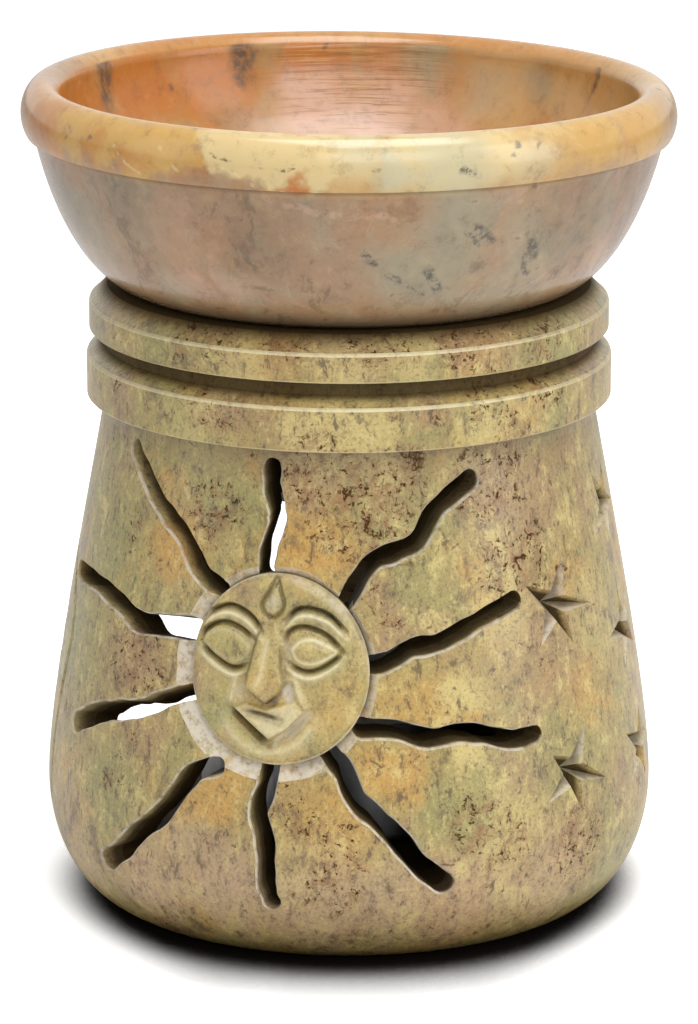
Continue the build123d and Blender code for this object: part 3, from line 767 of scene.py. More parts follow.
def mark_depth_shade(mesh, wall, sizes, carving):
    """Stores how deep inside the stone each point is, which the finish paints as shade with some soot, with
    more for small cuts, whose shade would hardly show.
    """
    x, y, z = measured(mesh.vertices, "co")
    radius = np.hypot(x, y)
    depth = np.clip((wall.radius(z) - radius) / sizes.wall, 0, 1)
    collar = z >= sizes.neck_height - NEAR
    groove_low = rings(sizes)[0][3] - NEAR
    # Painted shade inside the mouth, painted shadow of the dish on the upper ring's top, and painted shade
    # with some dirt in the groove between the rings
    dish_shadow_and_dirt = np.interp(radius / MM, (25, 28, 30.5, 31.0, 31.4), (1, 0.9, 0.36, 0.36, 0))
    depth = np.where(collar, np.where((z > groove_low) | (radius < 28 * MM), dish_shadow_and_dirt, 0), depth)
    _, across, _, reach = from_face(x, y, z, wall, carving)
    # Painted shadow line round the seat of the face
    depth = np.where((reach < 0.3 * MM) & (depth > 0.12), 0.4, depth)
    # Stronger painted shade in the shallow engraved line and scallops round the doorway
    depth = np.where(near_door(x, y, carving) & (depth < 0.14), depth * 4, depth)
    # Stronger painted shade on the walls of the rays right of the sun, which face away from the light
    shaded_right_rays = (across > 2 * MM) & (across < 36 * MM) & ~collar
    depth = np.where(shaded_right_rays, depth * 2.6, depth)
    depth = np.where(z < 0.5 * MM, 0.0, depth)
    # Painted shade that deepens towards the middle of each star
    store(mesh, "depth", "POINT", np.where(near_star(x, y, z, wall), np.minimum(depth, 0.24) * 4, depth))


def mark_scraped_and_lit(mesh, wall, sizes, carving):
    """Stores how freshly scraped each face is, with painted light on the star facets that face up."""
    x, y, z = measured(mesh.polygons, "center")
    out = (np.hypot(x, y) - wall.radius(z)) / MM
    carved = (z < sizes.neck_height - NEAR) & (z > 0.5 * MM)
    scraped = np.where(carved & (out < -0.05) & (out > -1.3), 0.95, 0.0)
    scraped = np.where(carved & (out <= -1.3) & (out > -3), 0.15, scraped)
    # The star facets that face up get a painted light tone and the others none, as if lit from above
    lit_upward = measured(mesh.polygons, "normal")[2] > 0.2
    scraped = np.where(near_star(x, y, z, wall), scraped * np.where(lit_upward, 0.65, 0.0), scraped)
    scraped = np.where(near_door(x, y, carving), scraped * 0.15, scraped)
    turn, across, up, reach = from_face(x, y, z, wall, carving)
    lower_left = np.clip(np.cos(np.arctan2(up, across) - LOWER_LEFT), 0, 1)
    margin = (reach < 3 * MM) & (np.abs(turn) < 1)
    store(mesh, "scraped", "FACE", np.where(margin, scraped * (0.74 + 0.26 * lower_left), scraped))


def mark_worn_highlights(mesh, sizes):
    """Stores a pale line on each face on the edges of the collar rings, partly rubbed wear and partly
    painted highlight, most of all in front.
    """
    x, y, z = measured(mesh.polygons, "center")
    crest = np.zeros(len(x))
    radius, worn = np.hypot(x, y), sizes.ring_worn
    for reach, _, under, high, drop in rings(sizes):
        edge = (radius > reach - 1.1 * worn) & (radius < reach - 0.02 * worn)
        crest[edge & (np.abs(z - high + drop) < worn)] = 0.8
        crest[edge & (np.abs(z - under - 0.5 * worn) < 0.4 * worn)] = 0.5
    # Stronger in front, where the painted highlight falls
    store(mesh, "crest", "FACE", crest * (0.4 + 0.6 * bell(np.arctan2(x, -y), 0.7)))


# Sun face


def bell(value, width):
    """Bell curve that is 1 at 0."""
    return np.exp(-(value / width) ** 2)


def blob(x, y, place, reach):
    """Soft oval spot at a place, with its reach sideways and upwards."""
    return np.exp(-(((x - place[0]) / reach[0]) ** 2 + ((y - place[1]) / reach[1]) ** 2))


def line_distance(x, y, line):
    """Distance of points from a line."""
    best = np.full(x.shape, np.inf)
    for (ax, ay), (bx, by) in zip(line, line[1:]):
        dx, dy = bx - ax, by - ay
        t = np.clip(((x - ax) * dx + (y - ay) * dy) / (dx * dx + dy * dy + 1e-12), 0, 1)
        best = np.minimum(best, np.hypot(x - ax - t * dx, y - ay - t * dy))
    return best


def inside_distance(x, y, outline):
    """Distance of points from a closed outline, positive inside it."""
    loop = np.vstack([outline, outline[:1]])
    inside = np.zeros(x.shape, bool)
    for (ax, ay), (bx, by) in zip(loop, loop[1:]):
        crosses = (ay > y) != (by > y)
        inside ^= crosses & (x < (bx - ax) * (y - ay) / (by - ay + 1e-12) + ax)
    return np.where(inside, 1, -1) * line_distance(x, y, loop)


def step(value, low, high):
    """Smooth step from 0 at low to 1 at high."""
    t = np.clip((value - low) / (high - low), 0, 1)
    return t * t * (3 - 2 * t)


def fade(x, y, line, reach, least):
    """Share that falls to the least at the ends of a line."""
    ends = [np.hypot(x - end[0], y - end[1]) for end in (line[0], line[-1])]
    return least + (1 - least) * step(np.minimum(*ends), 0, reach)


def groove(x, y, points, half, depth):
    """V-shaped cut along a smooth line that runs out at its ends."""
    line = smooth_line(points, 6)
    share = np.clip(1 - line_distance(x, y, line) / half, 0, 1)
    return depth * share ** 0.85 * fade(x, y, line, 1.6, 0.45)


def ridge(x, y, points, half, height):
    """Rounded ridge along a smooth line."""
    return height * bell(line_distance(x, y, smooth_line(points, 6)), half)


def closed(points):
    """Smooth closed outline through points."""
    return smooth_line(points + points[:1], 5)[:-1]


def mark(x, y, points, half, share=1.0):
    """Soft narrow mark along a smooth line, fading at its ends."""
    line = smooth_line(points, 6)
    gap = line_distance(x, y, line) / half
    return share * np.maximum(bell(gap, 0.8), 0.65 * bell(gap, 1.5)) * fade(x, y, line, 1.2, 0.3)


def face_relief(x, y, radius):
    """Height of the carved face over the wall at points in millimetres, with how scraped it is there, how
    much dirt and painted shade lie in its creases and how much painted highlight and rubbed wear lie on its
    ridges."""
    reach = np.hypot(x, y)
    height = -0.22 + 0.30 * (1 - (reach / radius) ** 2) - 0.45 * step(reach, radius - 1.1, radius) ** 2
    dirt, crest = [np.zeros(x.shape)], [np.zeros(x.shape)]
    for side, (brow, lid, under, eye) in enumerate(zip(BROWS, LIDS, UNDER_EYES, EYES)):
        below_brow = [(a, b - 0.80) for a, b in brow]
        below_eye = [(a, b - 0.72) for a, b in under]
        ball = inside_distance(x, y, closed(eye))
        height -= groove(x, y, brow, 0.44, 0.85) + groove(x, y, lid, 0.42, 0.80)
        height -= groove(x, y, under, 0.40, 0.75)
        height += ridge(x, y, below_brow, 0.40, 0.36) + ridge(x, y, below_eye, 0.38, 0.32)
        height += 0.52 * step(ball, -0.25, 1.2) + (0.06 + 0.08 * side) * bell(ball - 0.25, 0.25)
        # Dirt and painted shade in the creases, painted highlight with some rubbed wear on the ridges below
        # them and on the eyes
        dirt += [mark(x, y, brow, 0.30), mark(x, y, lid, 0.27, 0.95), mark(x, y, under, 0.27, 0.9)]
        crest += [mark(x, y, below_brow, 0.32), mark(x, y, below_eye, 0.30),
                  (0.25 + 0.45 * side) * bell(ball - 0.25, 0.24)]

    nose = inside_distance(x, y, np.array(NOSE))
    bridge = 0.25 + 1.0 * np.clip((5.9 - y) / 8.5, 0, 1)
    left_of_nose, right_of_nose = blob(x, y, (-4.2, -2.9), (0.8, 1.2)), blob(x, y, (1.7, -2.6), (0.8, 1.3))
    height += bridge * step(nose, -0.30, 0.25) - 0.45 * left_of_nose - 0.55 * right_of_nose
    height -= 0.30 * blob(x, y, (0.9, 1.9), (0.6, 2.0))
    # Dirt and painted shade along the nose's edges, painted highlight on its ridge
    dirt += [mark(x, y, line, half, share) for line, half, share in NOSE_EDGES]
    crest.append(mark(x, y, NOSE_RIDGE, 0.35, 0.5))

    lips = inside_distance(x, y, np.array(LIPS))
    height += 0.60 * step(lips, -0.2, 0.35) * (1 - step(nose, -0.35, 0.25))
    height -= groove(x, y, MOUTH_LINE, 0.42, 0.50) + groove(x, y, MOUTH_CUT, 0.62, 1.05)
    height -= groove(x, y, MOUTH_SCRAPE, 0.80, 0.70)
    height += ridge(x, y, FOLDS[0], 0.45, 0.36) + ridge(x, y, FOLDS[1], 0.45, 0.34)
    height += ridge(x, y, CHIN, 0.75, 0.30)
    # Dirt and painted shade in the mouth's cuts, painted highlight on the lips, folds and chin
    dirt += [mark(x, y, MOUTH_LINE, 0.38, 0.95), mark(x, y, MOUTH_CUT, 0.42)]
    crest += [0.6 * step(lips, 0.0, 0.5), mark(x, y, FOLDS[0], 0.4, 0.6), mark(x, y, FOLDS[1], 0.35, 0.6),
              mark(x, y, CHIN, 0.6, 0.45)]
    for cheek in (-6.8, 6.6):
        height += 0.22 * blob(x, y, (cheek, -3.4), (3.0, 3.2))

    tear, dot = inside_distance(x, y, closed(TEAR)), blob(x, y, TEAR_DOT, (sqrt(0.07), sqrt(0.07)))
    height += 0.20 * step(tear, 0.0, 0.5) - 0.45 * bell(tear + 0.25, 0.28) - 0.45 * dot
    height += 0.02 * np.sin(2.1 * x + 1.3 * y) * np.sin(1.7 * y - 0.8 * x)
    dirt = np.maximum.reduce(dirt + [dot, 0.7 * bell(tear + 0.25, 0.24)])
    upper_right = bell(np.arctan2(y, x) - 0.95, 0.45)
    scraped = np.maximum.reduce([
        0.55 * step(groove(x, y, MOUTH_SCRAPE, 0.80, 1.0), 0.05, 0.5), 0.9 * step(right_of_nose, 0.2, 0.7),
        0.5 * step(left_of_nose, 0.2, 0.8), 0.4 * step(tear, 0.15, 0.6),
        0.5 * blob(x, y, (1.3, 2.4), (0.5, 1.6)), 0.5 * step(reach, radius - 0.40, radius - 0.05),
        0.5 * upper_right * step(reach, radius - 1.5, radius - 0.9)])
    return np.maximum(height, -1.3), scraped, dirt, np.maximum.reduce(crest) * (1 - dirt)


def face_shape(wall, carving):
    """Round face drawn flat on a fine grid, carved by its relief, closed below and wrapped on the wall."""
    shape = bmesh.new()
    names = ("scraped", "dirt", "crest", "calm")
    for name in names:
        shape.verts.layers.float.new(name)
    layers = [shape.verts.layers.float[name] for name in names]
    bmesh.ops.create_grid(shape, x_segments=200, y_segments=200, size=1.0)
    sx, sy = np.array([vert.co[:2] for vert in shape.verts]).T
    radius = carving.face_radius / MM
    x = sx * np.sqrt(1 - sy * sy / 2) * radius
    y = sy * np.sqrt(1 - sx * sx / 2) * radius
    height, *marks = face_relief(x, y, radius)
    marks.append(np.ones(len(x)))
    for vert, a, b, out, values in zip(shape.verts, x, y, height, np.array(marks).T):
        vert.co = a * MM, b * MM, out * MM
        for layer, value in zip(layers, values):
            vert[layer] = value
    rim = [edge for edge in shape.edges if edge.is_boundary]
    for vert in new_verts(bmesh.ops.extrude_edge_only(shape, edges=rim)["geom"]):
        vert.co.z = -1.55 * carving.margin_depth
        vert[layers[0]] = 0.0
        # Painted shade with some dirt on the face's side wall down to its seat
        vert[layers[1]] = 0.6
    rim = [edge for edge in shape.edges if edge.is_boundary]
    bmesh.ops.contextual_create(shape, geom=rim)
    bmesh.ops.recalc_face_normals(shape, faces=shape.faces)
    return wall.wrap(shape, carving.sun_azimuth, carving.sun_height)


# Dish


def bowl_outline(sizes, seat):
    """Outline of the dish from under its spigot, round the rim and down to the middle of its hollow, with
    the number of the point where its lip ends."""
    low = seat + sizes.wall_height + sizes.rim_step
    middle = seat + sizes.rim_rise
    low_angle = asin((low - middle) / sizes.rim_half_height)
    low_radius = sizes.rim_radius + sizes.rim_half_width * cos(low_angle)
    lip_angle = pi - asin(sqrt(1 - ((sizes.rim_radius - sizes.lip_radius) / sizes.rim_half_width) ** 2))
    lip = middle + sizes.rim_half_height * sin(lip_angle)
    base, wall_top = seat - sizes.spigot_depth, seat + sizes.wall_height
    floor, turn = base + sizes.floor, sizes.spigot_round
    line = [(0.0, base)]
    line += arc((sizes.spigot_radius - turn, base + turn), turn, turn, -90, 0, 5)
    line += [(sizes.spigot_radius, seat)]
    line += bezier([(sizes.foot_radius, seat),
                    (sizes.foot_radius + sizes.foot_handle, seat + sizes.foot_lift),
                    (sizes.wall_radius - sizes.wall_flare, wall_top - sizes.wall_handle),
                    (sizes.wall_radius, wall_top)], 48)
    line += [(low_radius - 0.25 * MM, low - 0.12 * MM)]
    line += arc((sizes.rim_radius, middle), sizes.rim_half_width, sizes.rim_half_height, degrees(low_angle),
                degrees(lip_angle), 30)
    at_lip = len(line)
    line += bezier([(sizes.lip_radius, lip),
                    (sizes.lip_radius - sizes.inner_flare, lip - sizes.inner_handle),
                    (sizes.floor_handle, floor), (0.0, floor)], 72)[1:]
    return line, at_lip


def mark_hollow(mesh, sizes, outline, lip):
    """Stores which points lie in the hollow and which under the rim, where the finish paints a shadow line.
    """
    x, y, z = measured(mesh.vertices, "co")
    radius = np.hypot(x, y)
    inner = line_distance(radius, z, outline[lip - 2:])
    outer = line_distance(radius, z, outline[:lip - 2])
    store(mesh, "hollow", "POINT", inner < outer)
    up = z - BOWL_LOW.z - sizes.spigot_depth - sizes.wall_height
    store(mesh, "joint", "POINT", np.hypot(radius - sizes.wall_radius, up) < 0.3 * MM)


def lean(dish, sizes, seat):
    """Lowers the rim a little towards the back right, where the real one was turned down further."""
    top = seat + sizes.rim_rise + sizes.rim_half_height
    for vert in dish.data.vertices:
        x, y, z = vert.co
        turn = (0.5 * x + 0.85 * y) / (sizes.rim_radius + sizes.rim_half_width)
        share = float(step(z, seat + sizes.foot_handle, top))
        vert.co.z = z - sizes.rim_lean * share * (0.015 + max(0.0, 0.5 + 0.5 * turn) ** 1.5)


# Finishes


class Value:
    """Output of a node, whose arithmetic adds the nodes for it."""

    def __init__(self, socket):
        self.socket, self.tree = socket, socket.id_data

    def __add__(self, other):
        return calc("ADD", self, other)

    def __sub__(self, other):
        return calc("SUBTRACT", self, other)

    def __rsub__(self, other):
        return calc("SUBTRACT", other, self)

    def __mul__(self, other):
        return calc("MULTIPLY", self, other)


def add(tree, kind, values=None, **settings):
    """Adds a node, sets what it is given and links the outputs among its values."""
    made = tree.nodes.new(kind)
    for name, value in settings.items():
        setattr(made, name, value)
    for name, value in (values or {}).items():
        if isinstance(value, Value):
            tree.links.new(value.socket, made.inputs[name])
        else:
            made.inputs[name].default_value = value
    return made


def output(tree, kind, values=None, name=0, **settings):
    """Adds a node and gives one of its outputs."""
    return Value(add(tree, kind, values, **settings).outputs[name])


def calc(operation, first, second=0.0):
    """Works out a number from two, one of them at least from a node."""
    tree = (first if isinstance(first, Value) else second).tree
    return output(tree, "ShaderNodeMath", {0: first, 1: second}, operation=operation)


def vector(operation, first, second, name=0):
    """Works out a vector, or by its output's name a number, from two vectors."""
    return output(first.tree, "ShaderNodeVectorMath", {0: first, 1: second}, name, operation=operation)


def scaled(base, share):
    """Vector times a number, one of them at least from a node."""
    tree = (base if isinstance(base, Value) else share).tree
    return output(tree, "ShaderNodeVectorMath", {0: base, "Scale": share}, operation="SCALE")


def mix(share, first, second):
    """Mixes two colours by a share."""
    pair = [value if isinstance(value, Value) else (*value, 1.0) for value in (first, second)]
    return output(share.tree, "ShaderNodeMix", {0: share, 6: pair[0], 7: pair[1]}, 2, data_type="RGBA")


def between(value, low, high, to_low=0.0, to_high=1.0):
    """Maps a value smoothly from one range to another, clamped."""
    ranges = {"Value": value, "From Min": low, "From Max": high, "To Min": to_low, "To Max": to_high}
    return output(value.tree, "ShaderNodeMapRange", ranges, interpolation_type="SMOOTHSTEP")


def tinted(paint, *tints):
    """Lays colours over a paint, each where its pattern goes from low to high. A tint is the pattern, low,
    high, the share of the colour and the colour."""
    for pattern, low, high, share, tint in tints:
        paint = mix(between(pattern, low, high) * share, paint, tint)
    return paint


def coordinates(tree):
    """Place on the piece."""
    return output(tree, "ShaderNodeTexCoord", name="Object")


def upright(place):
    """Height of a place."""
    return output(place.tree, "ShaderNodeSeparateXYZ", {0: place}, 2)


def layer(tree, name):
    """Number stored on the mesh under a name."""
    return output(tree, "ShaderNodeAttribute", name="Fac", attribute_name=name)


def shifted(place, offset=(0, 0, 0), scale=(1, 1, 1), turn=(0, 0, 0)):
    """Moves, turns and stretches a pattern."""
    return output(place.tree, "ShaderNodeMapping",
                  {"Vector": place, "Location": offset, "Rotation": turn, "Scale": scale})


def noise(place, scale, detail=4.0, rough=0.55, warp=0.0):
    """Cloudy pattern."""
    values = {"Vector": place, "Scale": scale, "Detail": detail, "Roughness": rough, "Distortion": warp}
    return output(place.tree, "ShaderNodeTexNoise", values)


def warped(place, scale, reach, rough=0.6):
    """Place pushed about by a soft noise, so that what is laid on it has ragged edges."""
    push = output(place.tree, "ShaderNodeTexNoise",
                  {"Vector": place, "Scale": scale, "Detail": 4.0, "Roughness": rough}, "Color")
    return vector("ADD", place, scaled(vector("SUBTRACT", push, (0.5, 0.5, 0.5)), reach))


def spots(place, scale, size, share):
    """Round specks: a share of the cells of a scattered pattern, each as wide as size."""
    cells = add(place.tree, "ShaderNodeTexVoronoi", {"Vector": place, "Scale": scale, "Randomness": 1.0})
    picked = output(place.tree, "ShaderNodeSeparateColor", {0: Value(cells.outputs["Color"])})
    near = between(Value(cells.outputs["Distance"]), size, size * 0.35)
    return near * between(picked, 1 - share, 1 - share * 0.6)


def on_stone(azimuth, height, radius):
    """Point at an azimuth in degrees, a height in millimetres and a radius in metres."""
    turn = radians(azimuth)
    return Vector((radius * sin(turn), -radius * cos(turn), height * MM))


def patch(place, centre, reach, soft=0.75):
    """Share of a cloudy patch round a point."""
    return between(vector("DISTANCE", place, centre, "Value"), reach, reach * (1 - soft))


def patches(place, paint, colours, table, radius):
    """Lays listed patches over a paint. Radius gives the stone's radius at a height."""
    for name, marks in table:
        cover = 0.0
        for azimuth, height, reach, share, *soft in marks:
            centre = on_stone(azimuth, height, radius(height * MM))
            cover = calc("MAXIMUM", cover, patch(place, centre, reach * 1.25 * MM, *soft) * share)
        paint = mix(cover, paint, getattr(colours, name))
    return paint


def streaks(place, table, radius):
    """Share of a set of thin streaks, each given by the azimuths and heights of its ends and its width."""
    cover = 0.0
    for first, last, width in table:
        start, stop = (on_stone(*end, radius(end[1] * MM)) for end in (first, last))
        along = stop - start
        gone = vector("SUBTRACT", place, start)
        # Two steps keep the share in its range. A clamped step would be worked out last, and with so many of
        # them Cycles runs out of room
        share = vector("DOT_PRODUCT", gone, along, "Value") * (1 / along.length_squared)
        share = calc("MAXIMUM", share, 0.0)
        gap = vector("DISTANCE", gone, scaled(along, calc("MINIMUM", share, 1.0)), "Value")
        cover = calc("MAXIMUM", cover, between(gap, width * MM, width * 0.3 * MM))
    return cover


def bump(height, strength, distance):
    """Normal of a fine relief."""
    values = {"Strength": strength, "Distance": distance, "Height": height}
    return output(height.tree, "ShaderNodeBump", values)


def finish(name):
    """New material with an empty node tree."""
    material = bpy.data.materials.new(name)
    material.use_nodes = True
    material.node_tree.nodes.clear()
    return material, material.node_tree


def surface(tree, values):
    """Principled surface wired to the output."""
    add(tree, "ShaderNodeOutputMaterial", {"Surface": output(tree, "ShaderNodeBsdfPrincipled", values)})


def body_stone(colours, wall):
    """Mottled khaki soapstone with an upright grain, iron specks and pale scraped cuts, with painted shade
    in the cuts, the face's creases and under the collar, and painted highlights on ridges and ring edges.
    """
    material, tree = finish("body_stone")
    place = coordinates(tree)
    ragged = warped(place, 150.0, 9 * MM)
    shift = (0.31, 0.12, 0.05)
    cloud = noise(ragged, 85.0, 6.0, 0.65)
    warm = noise(shifted(ragged, shift), 75.0, 6.0, 0.65)
    paint = tinted(colours.khaki, (cloud, 0.47, 0.58, 0.65, colours.olive),
                   (warm, 0.52, 0.64, 0.60, colours.ochre), (warm, 0.47, 0.36, 0.60, colours.clay))
    paint = patches(ragged, paint, colours, BODY_PATCHES, wall.radius)

    calm = layer(tree, "calm")
    lively = 1 - calm * 0.65
    paint = mix(calm * 0.22, paint, colours.sallow)
    light = noise(shifted(place, shift, (1.0, 1.0, 0.7)), 260.0, 7.0, 0.75, 0.3)
    grain = noise(shifted(place, (0.2, 0.5, 0.1), (1.0, 1.0, 0.45)), 900.0, 5.0, 0.75, 0.3)
    fine = noise(place, 2600.0, 3.0, 0.7)
    paint = tinted(paint, (light, 0.52, 0.66, 0.68, colours.straw), (light, 0.47, 0.35, 0.60, colours.umber),
                   (grain, 0.54, 0.66, 0.50, colours.straw),
                   (grain, 0.47, 0.34, lively * 0.80, colours.umber),
                   (fine, 0.48, 0.32, 0.50, colours.umber), (fine, 0.56, 0.72, 0.35, colours.straw))

    cluster = between(noise(shifted(place, (0.05, 0.33, 0.21)), 90.0, 4.0, 0.6), 0.56, 0.70)
    for azimuth, height, reach in BODY_SPECKS:
        centre = on_stone(azimuth, height, wall.radius(height * MM))
        cluster = calc("MAXIMUM", cluster, patch(ragged, centre, reach * 1.3 * MM))
    cluster = cluster * lively
    stain = between(noise(place, 620.0, 5.0, 0.7), 0.44, 0.62) * cluster
    paint = mix(stain * 0.70, paint, colours.ruddy)
    small = between(noise(place, 1500.0, 4.0, 0.65, 0.4), 0.55, 0.66)
    blots = between(noise(ragged, 620.0, 6.0, 0.7), 0.56, 0.64)
    speck = calc("MAXIMUM", small, blots) * between(cluster, 0.10, 0.55)
    stray = spots(ragged, 760.0, 0.34, 0.16) * 0.7 * lively
    paint = mix(calc("MAXIMUM", speck, stray), paint, colours.rust)

    scraped, crest, dirt, depth = (layer(tree, name) for name in ("scraped", "crest", "dirt", "depth"))
    worn = noise(place, 900.0, 5.0, 0.7)
    # Freshly scraped dust, with painted light on the star facets that face up
    fresh_and_lit = scraped * between(worn, 0.36, 0.56, 0.30, 1.0)
    # Painted shade, with some soot, that darkens the stone deeper in the cuts
    soot_and_shade_share = between(depth, 0.05, 0.40, 0.0, 0.92) * (1 - scraped * 0.8)
    # Painted highlight with some rubbed wear on ridges and ring edges
    paint = mix(crest * between(worn, 0.36, 0.56, 0.70, 1.0), paint, colours.rubbed_and_highlight)
    paint = mix(fresh_and_lit, paint, colours.dust)
    # Dirt and painted shade in the face's creases
    paint = mix(dirt * between(worn, 0.30, 0.60, 1.0, 0.85), paint, colours.grime_and_shade)
    paint = mix(soot_and_shade_share, paint, colours.soot_and_shade)
    z = upright(place)
    # Painted shadow under the lower collar ring
    shadow_under_ring = between(z, 59.5 * MM, 64.8 * MM) * calc("LESS_THAN", z, 64.95 * MM)
    paint = mix(shadow_under_ring * 0.45, paint, colours.umber)

    clean = 1 - calc("MAXIMUM", soot_and_shade_share, speck * 0.9)
    surface(tree, {"Base Color": paint, "IOR": 1.54, "Coat Roughness": 0.22,
                   "Roughness": between(grain, 0.3, 0.7, 0.30, 0.44) + fresh_and_lit * 0.35 + soot_and_shade_share * 0.4,
                   "Normal": bump(grain * 0.5 + fine * 0.35 - speck * 0.25, 0.35, 0.22 * MM),
                   "Specular IOR Level": clean * 0.5, "Coat Weight": clean * 0.25})
    return material


def bowl_stone(colours, wall_radius, rim_radius, lip_radius):
    """Polished peach and amber soapstone with cream patches, grey green clouds, veins and lathe lines, with
    a painted shadow line under the rim, painted shade towards the foot and a painted highlight low in the
    hollow.
    """
    material, tree = finish("bowl_stone")
    place = coordinates(tree)
    ragged = warped(place, 120.0, 10 * MM)
    z, hollow = upright(place), layer(tree, "hollow")
    solid = 1 - hollow
    cloud = noise(ragged, 60.0, 6.0, 0.65)
    warm = noise(shifted(ragged, (0.4, 0.1, 0.3)), 75.0, 6.0, 0.65)
    slanted = shifted(ragged, scale=(1.0, 1.0, 0.25), turn=(0.0, radians(35), 0.0))
    marble = noise(slanted, 210.0, 6.0, 0.7, 0.5)

    outside = tinted(colours.peach, (cloud, 0.46, 0.60, 0.60, colours.sage),
                     (warm, 0.52, 0.66, 0.18, colours.amber), (marble, 0.53, 0.62, 0.24, colours.rose),
                     (marble, 0.47, 0.36, 0.50, colours.umber))
    outside = patches(ragged, outside, colours, DISH_PATCHES, wall_radius)
    rim = tinted(colours.honey, (warm, 0.50, 0.64, 0.40, colours.amber),
                 (cloud, 0.52, 0.62, 0.50, colours.cream))
    rim = patches(ragged, rim, colours, RIM_PATCHES, lambda height: rim_radius)
    deep = [0.65 * light + 0.35 * dark for light, dark in zip(colours.honey, colours.umber)]
    inside = tinted(deep, (warm, 0.44, 0.60, 0.70, colours.amber), (cloud, 0.50, 0.66, 0.40, colours.honey))
    inside = patches(ragged, inside, colours, HOLLOW_PATCHES, lambda height: lip_radius)
    top = between(z, BOWL_HIGH.z - 7.9 * MM, BOWL_HIGH.z - 6.6 * MM)
    paint = mix(hollow, mix(top, outside, rim), inside)

    mottle = noise(place, 420.0, 7.0, 0.75, 0.2)
    paint = tinted(paint, (mottle, 0.50, 0.75, 0.22, colours.cream),
                   (mottle, 0.50, 0.28, 0.38, colours.umber))
    near = warped(place, 260.0, 2.4 * MM, 0.5)
    broken = between(noise(place, 900.0, 5.0, 0.7), 0.44, 0.56, 0.1, 1.0)
    ragged_edge = between(noise(place, 700.0, 5.0, 0.7), 0.36, 0.58, 0.35, 1.0)
    veins = streaks(near, DARK_VEINS, lambda height: lip_radius) * hollow
    dashes = streaks(near, DARK_DASHES, wall_radius) * solid * broken
    dark = calc("MAXIMUM", veins, dashes) * ragged_edge
    specks = spots(ragged, 300.0, 0.24, 0.16) * 0.75
    paint = mix(calc("MAXIMUM", dark, specks) * 0.80, paint, colours.slate)
    cracks = streaks(near, PALE_CRACKS, wall_radius) * solid * broken
    paint = mix(cracks * 0.35, paint, colours.rose)
    edges = streaks(near, PALE_EDGES, wall_radius) * solid * broken
    paint = mix(edges * 0.45, paint, colours.chip)
    # Painted shadow line under the rim
    paint = mix(layer(tree, "joint") * 0.6, paint, colours.umber)
    # Painted shade darkening the outside of the dish towards its foot
    foot = between(z, BOWL_LOW.z + 7.0 * MM, BOWL_LOW.z + 2.6 * MM)
    paint = mix(foot * solid * 0.85, paint, colours.umber)

    turning = noise(shifted(place, scale=(0.03, 0.03, 1.0)), 3000.0, 3.0, 0.75)
    back = patch(place, on_stone(178, 100, lip_radius), 15 * MM, 0.6)
    polished = back * hollow
    paint = mix(polished * between(turning, 0.53, 0.60) * 0.65, paint, colours.ruddy)
    paint = mix(polished * between(turning, 0.48, 0.36) * 0.35, paint, colours.cream)
    rise = noise(place, 900.0, 4.0, 0.6) * 0.3 + turning * between(back, 0.0, 1.0, 0.12, 0.5)
    surface(tree, {"Base Color": paint, "Roughness": between(mottle, 0.3, 0.7, 0.13, 0.24),
                   "Normal": bump(rise, 0.25, 0.2 * MM), "IOR": 1.56,
                   "Specular IOR Level": between(hollow, 0.0, 1.0, 0.5, 0.35), "Subsurface Weight": 0.08,
                   "Subsurface Radius": (0.004, 0.002, 0.001), "Subsurface Scale": 0.5})
    return material


def cup_metal():
    """Thin drawn aluminium with fine upright draw lines, painted darker than bare aluminium as shade for the
    dark chamber.
    """
    material, tree = finish("cup_metal")
    place = coordinates(tree)
    drawn = noise(shifted(place, scale=(1, 1, 0.05)), 2600.0, 3.0)
    # Darker grey than bare aluminium: painted shade for the cup inside the dark chamber
    paint = mix(between(noise(place, 180.0, 3.0), 0.4, 0.6), (0.40, 0.40, 0.41), (0.50, 0.50, 0.51))
    surface(tree, {"Base Color": paint, "Metallic": 1.0, "Roughness": between(drawn, 0.3, 0.7, 0.34, 0.50),
                   "Normal": bump(drawn, 0.25, 0.05 * MM)})
    return material


def candle_wax():
    """White wax, slightly translucent, with a faint dimpled skin."""
    material, tree = finish("candle_wax")
    place = coordinates(tree)
    cloud = noise(place, 160.0, 3.0)
    paint = mix(between(cloud, 0.35, 0.65), (0.86, 0.84, 0.78), (0.92, 0.91, 0.87))
    surface(tree, {"Base Color": paint, "Roughness": between(cloud, 0.3, 0.7, 0.38, 0.5),
                   "Subsurface Weight": 0.25, "Subsurface Radius": (0.004, 0.003, 0.002),
                   "Subsurface Scale": 0.5, "Normal": bump(noise(place, 420.0, 4.0), 0.3, 0.2 * MM)})
    return material


def pressed_steel():
    """Tinned steel of the wick sustainer."""
    material, tree = finish("pressed_steel")
    cloud = noise(coordinates(tree), 900.0, 4.0)
    paint = mix(between(cloud, 0.35, 0.65), (0.50, 0.50, 0.51), (0.64, 0.64, 0.65))
    surface(tree, {"Base Color": paint, "Metallic": 1.0, "Roughness": between(cloud, 0.3, 0.7, 0.3, 0.45)})
    return material


def waxed_cotton():
    """Braided cotton primed with wax."""
    material, tree = finish("waxed_cotton")
    cloud = noise(coordinates(tree), 2400.0, 4.0)
    paint = mix(between(cloud, 0.35, 0.65), (0.66, 0.62, 0.52), (0.84, 0.81, 0.73))
    surface(tree, {"Base Color": paint, "Roughness": 0.7, "Sheen Weight": 0.3,
                   "Normal": bump(cloud, 0.6, 0.15 * MM)})
    return material


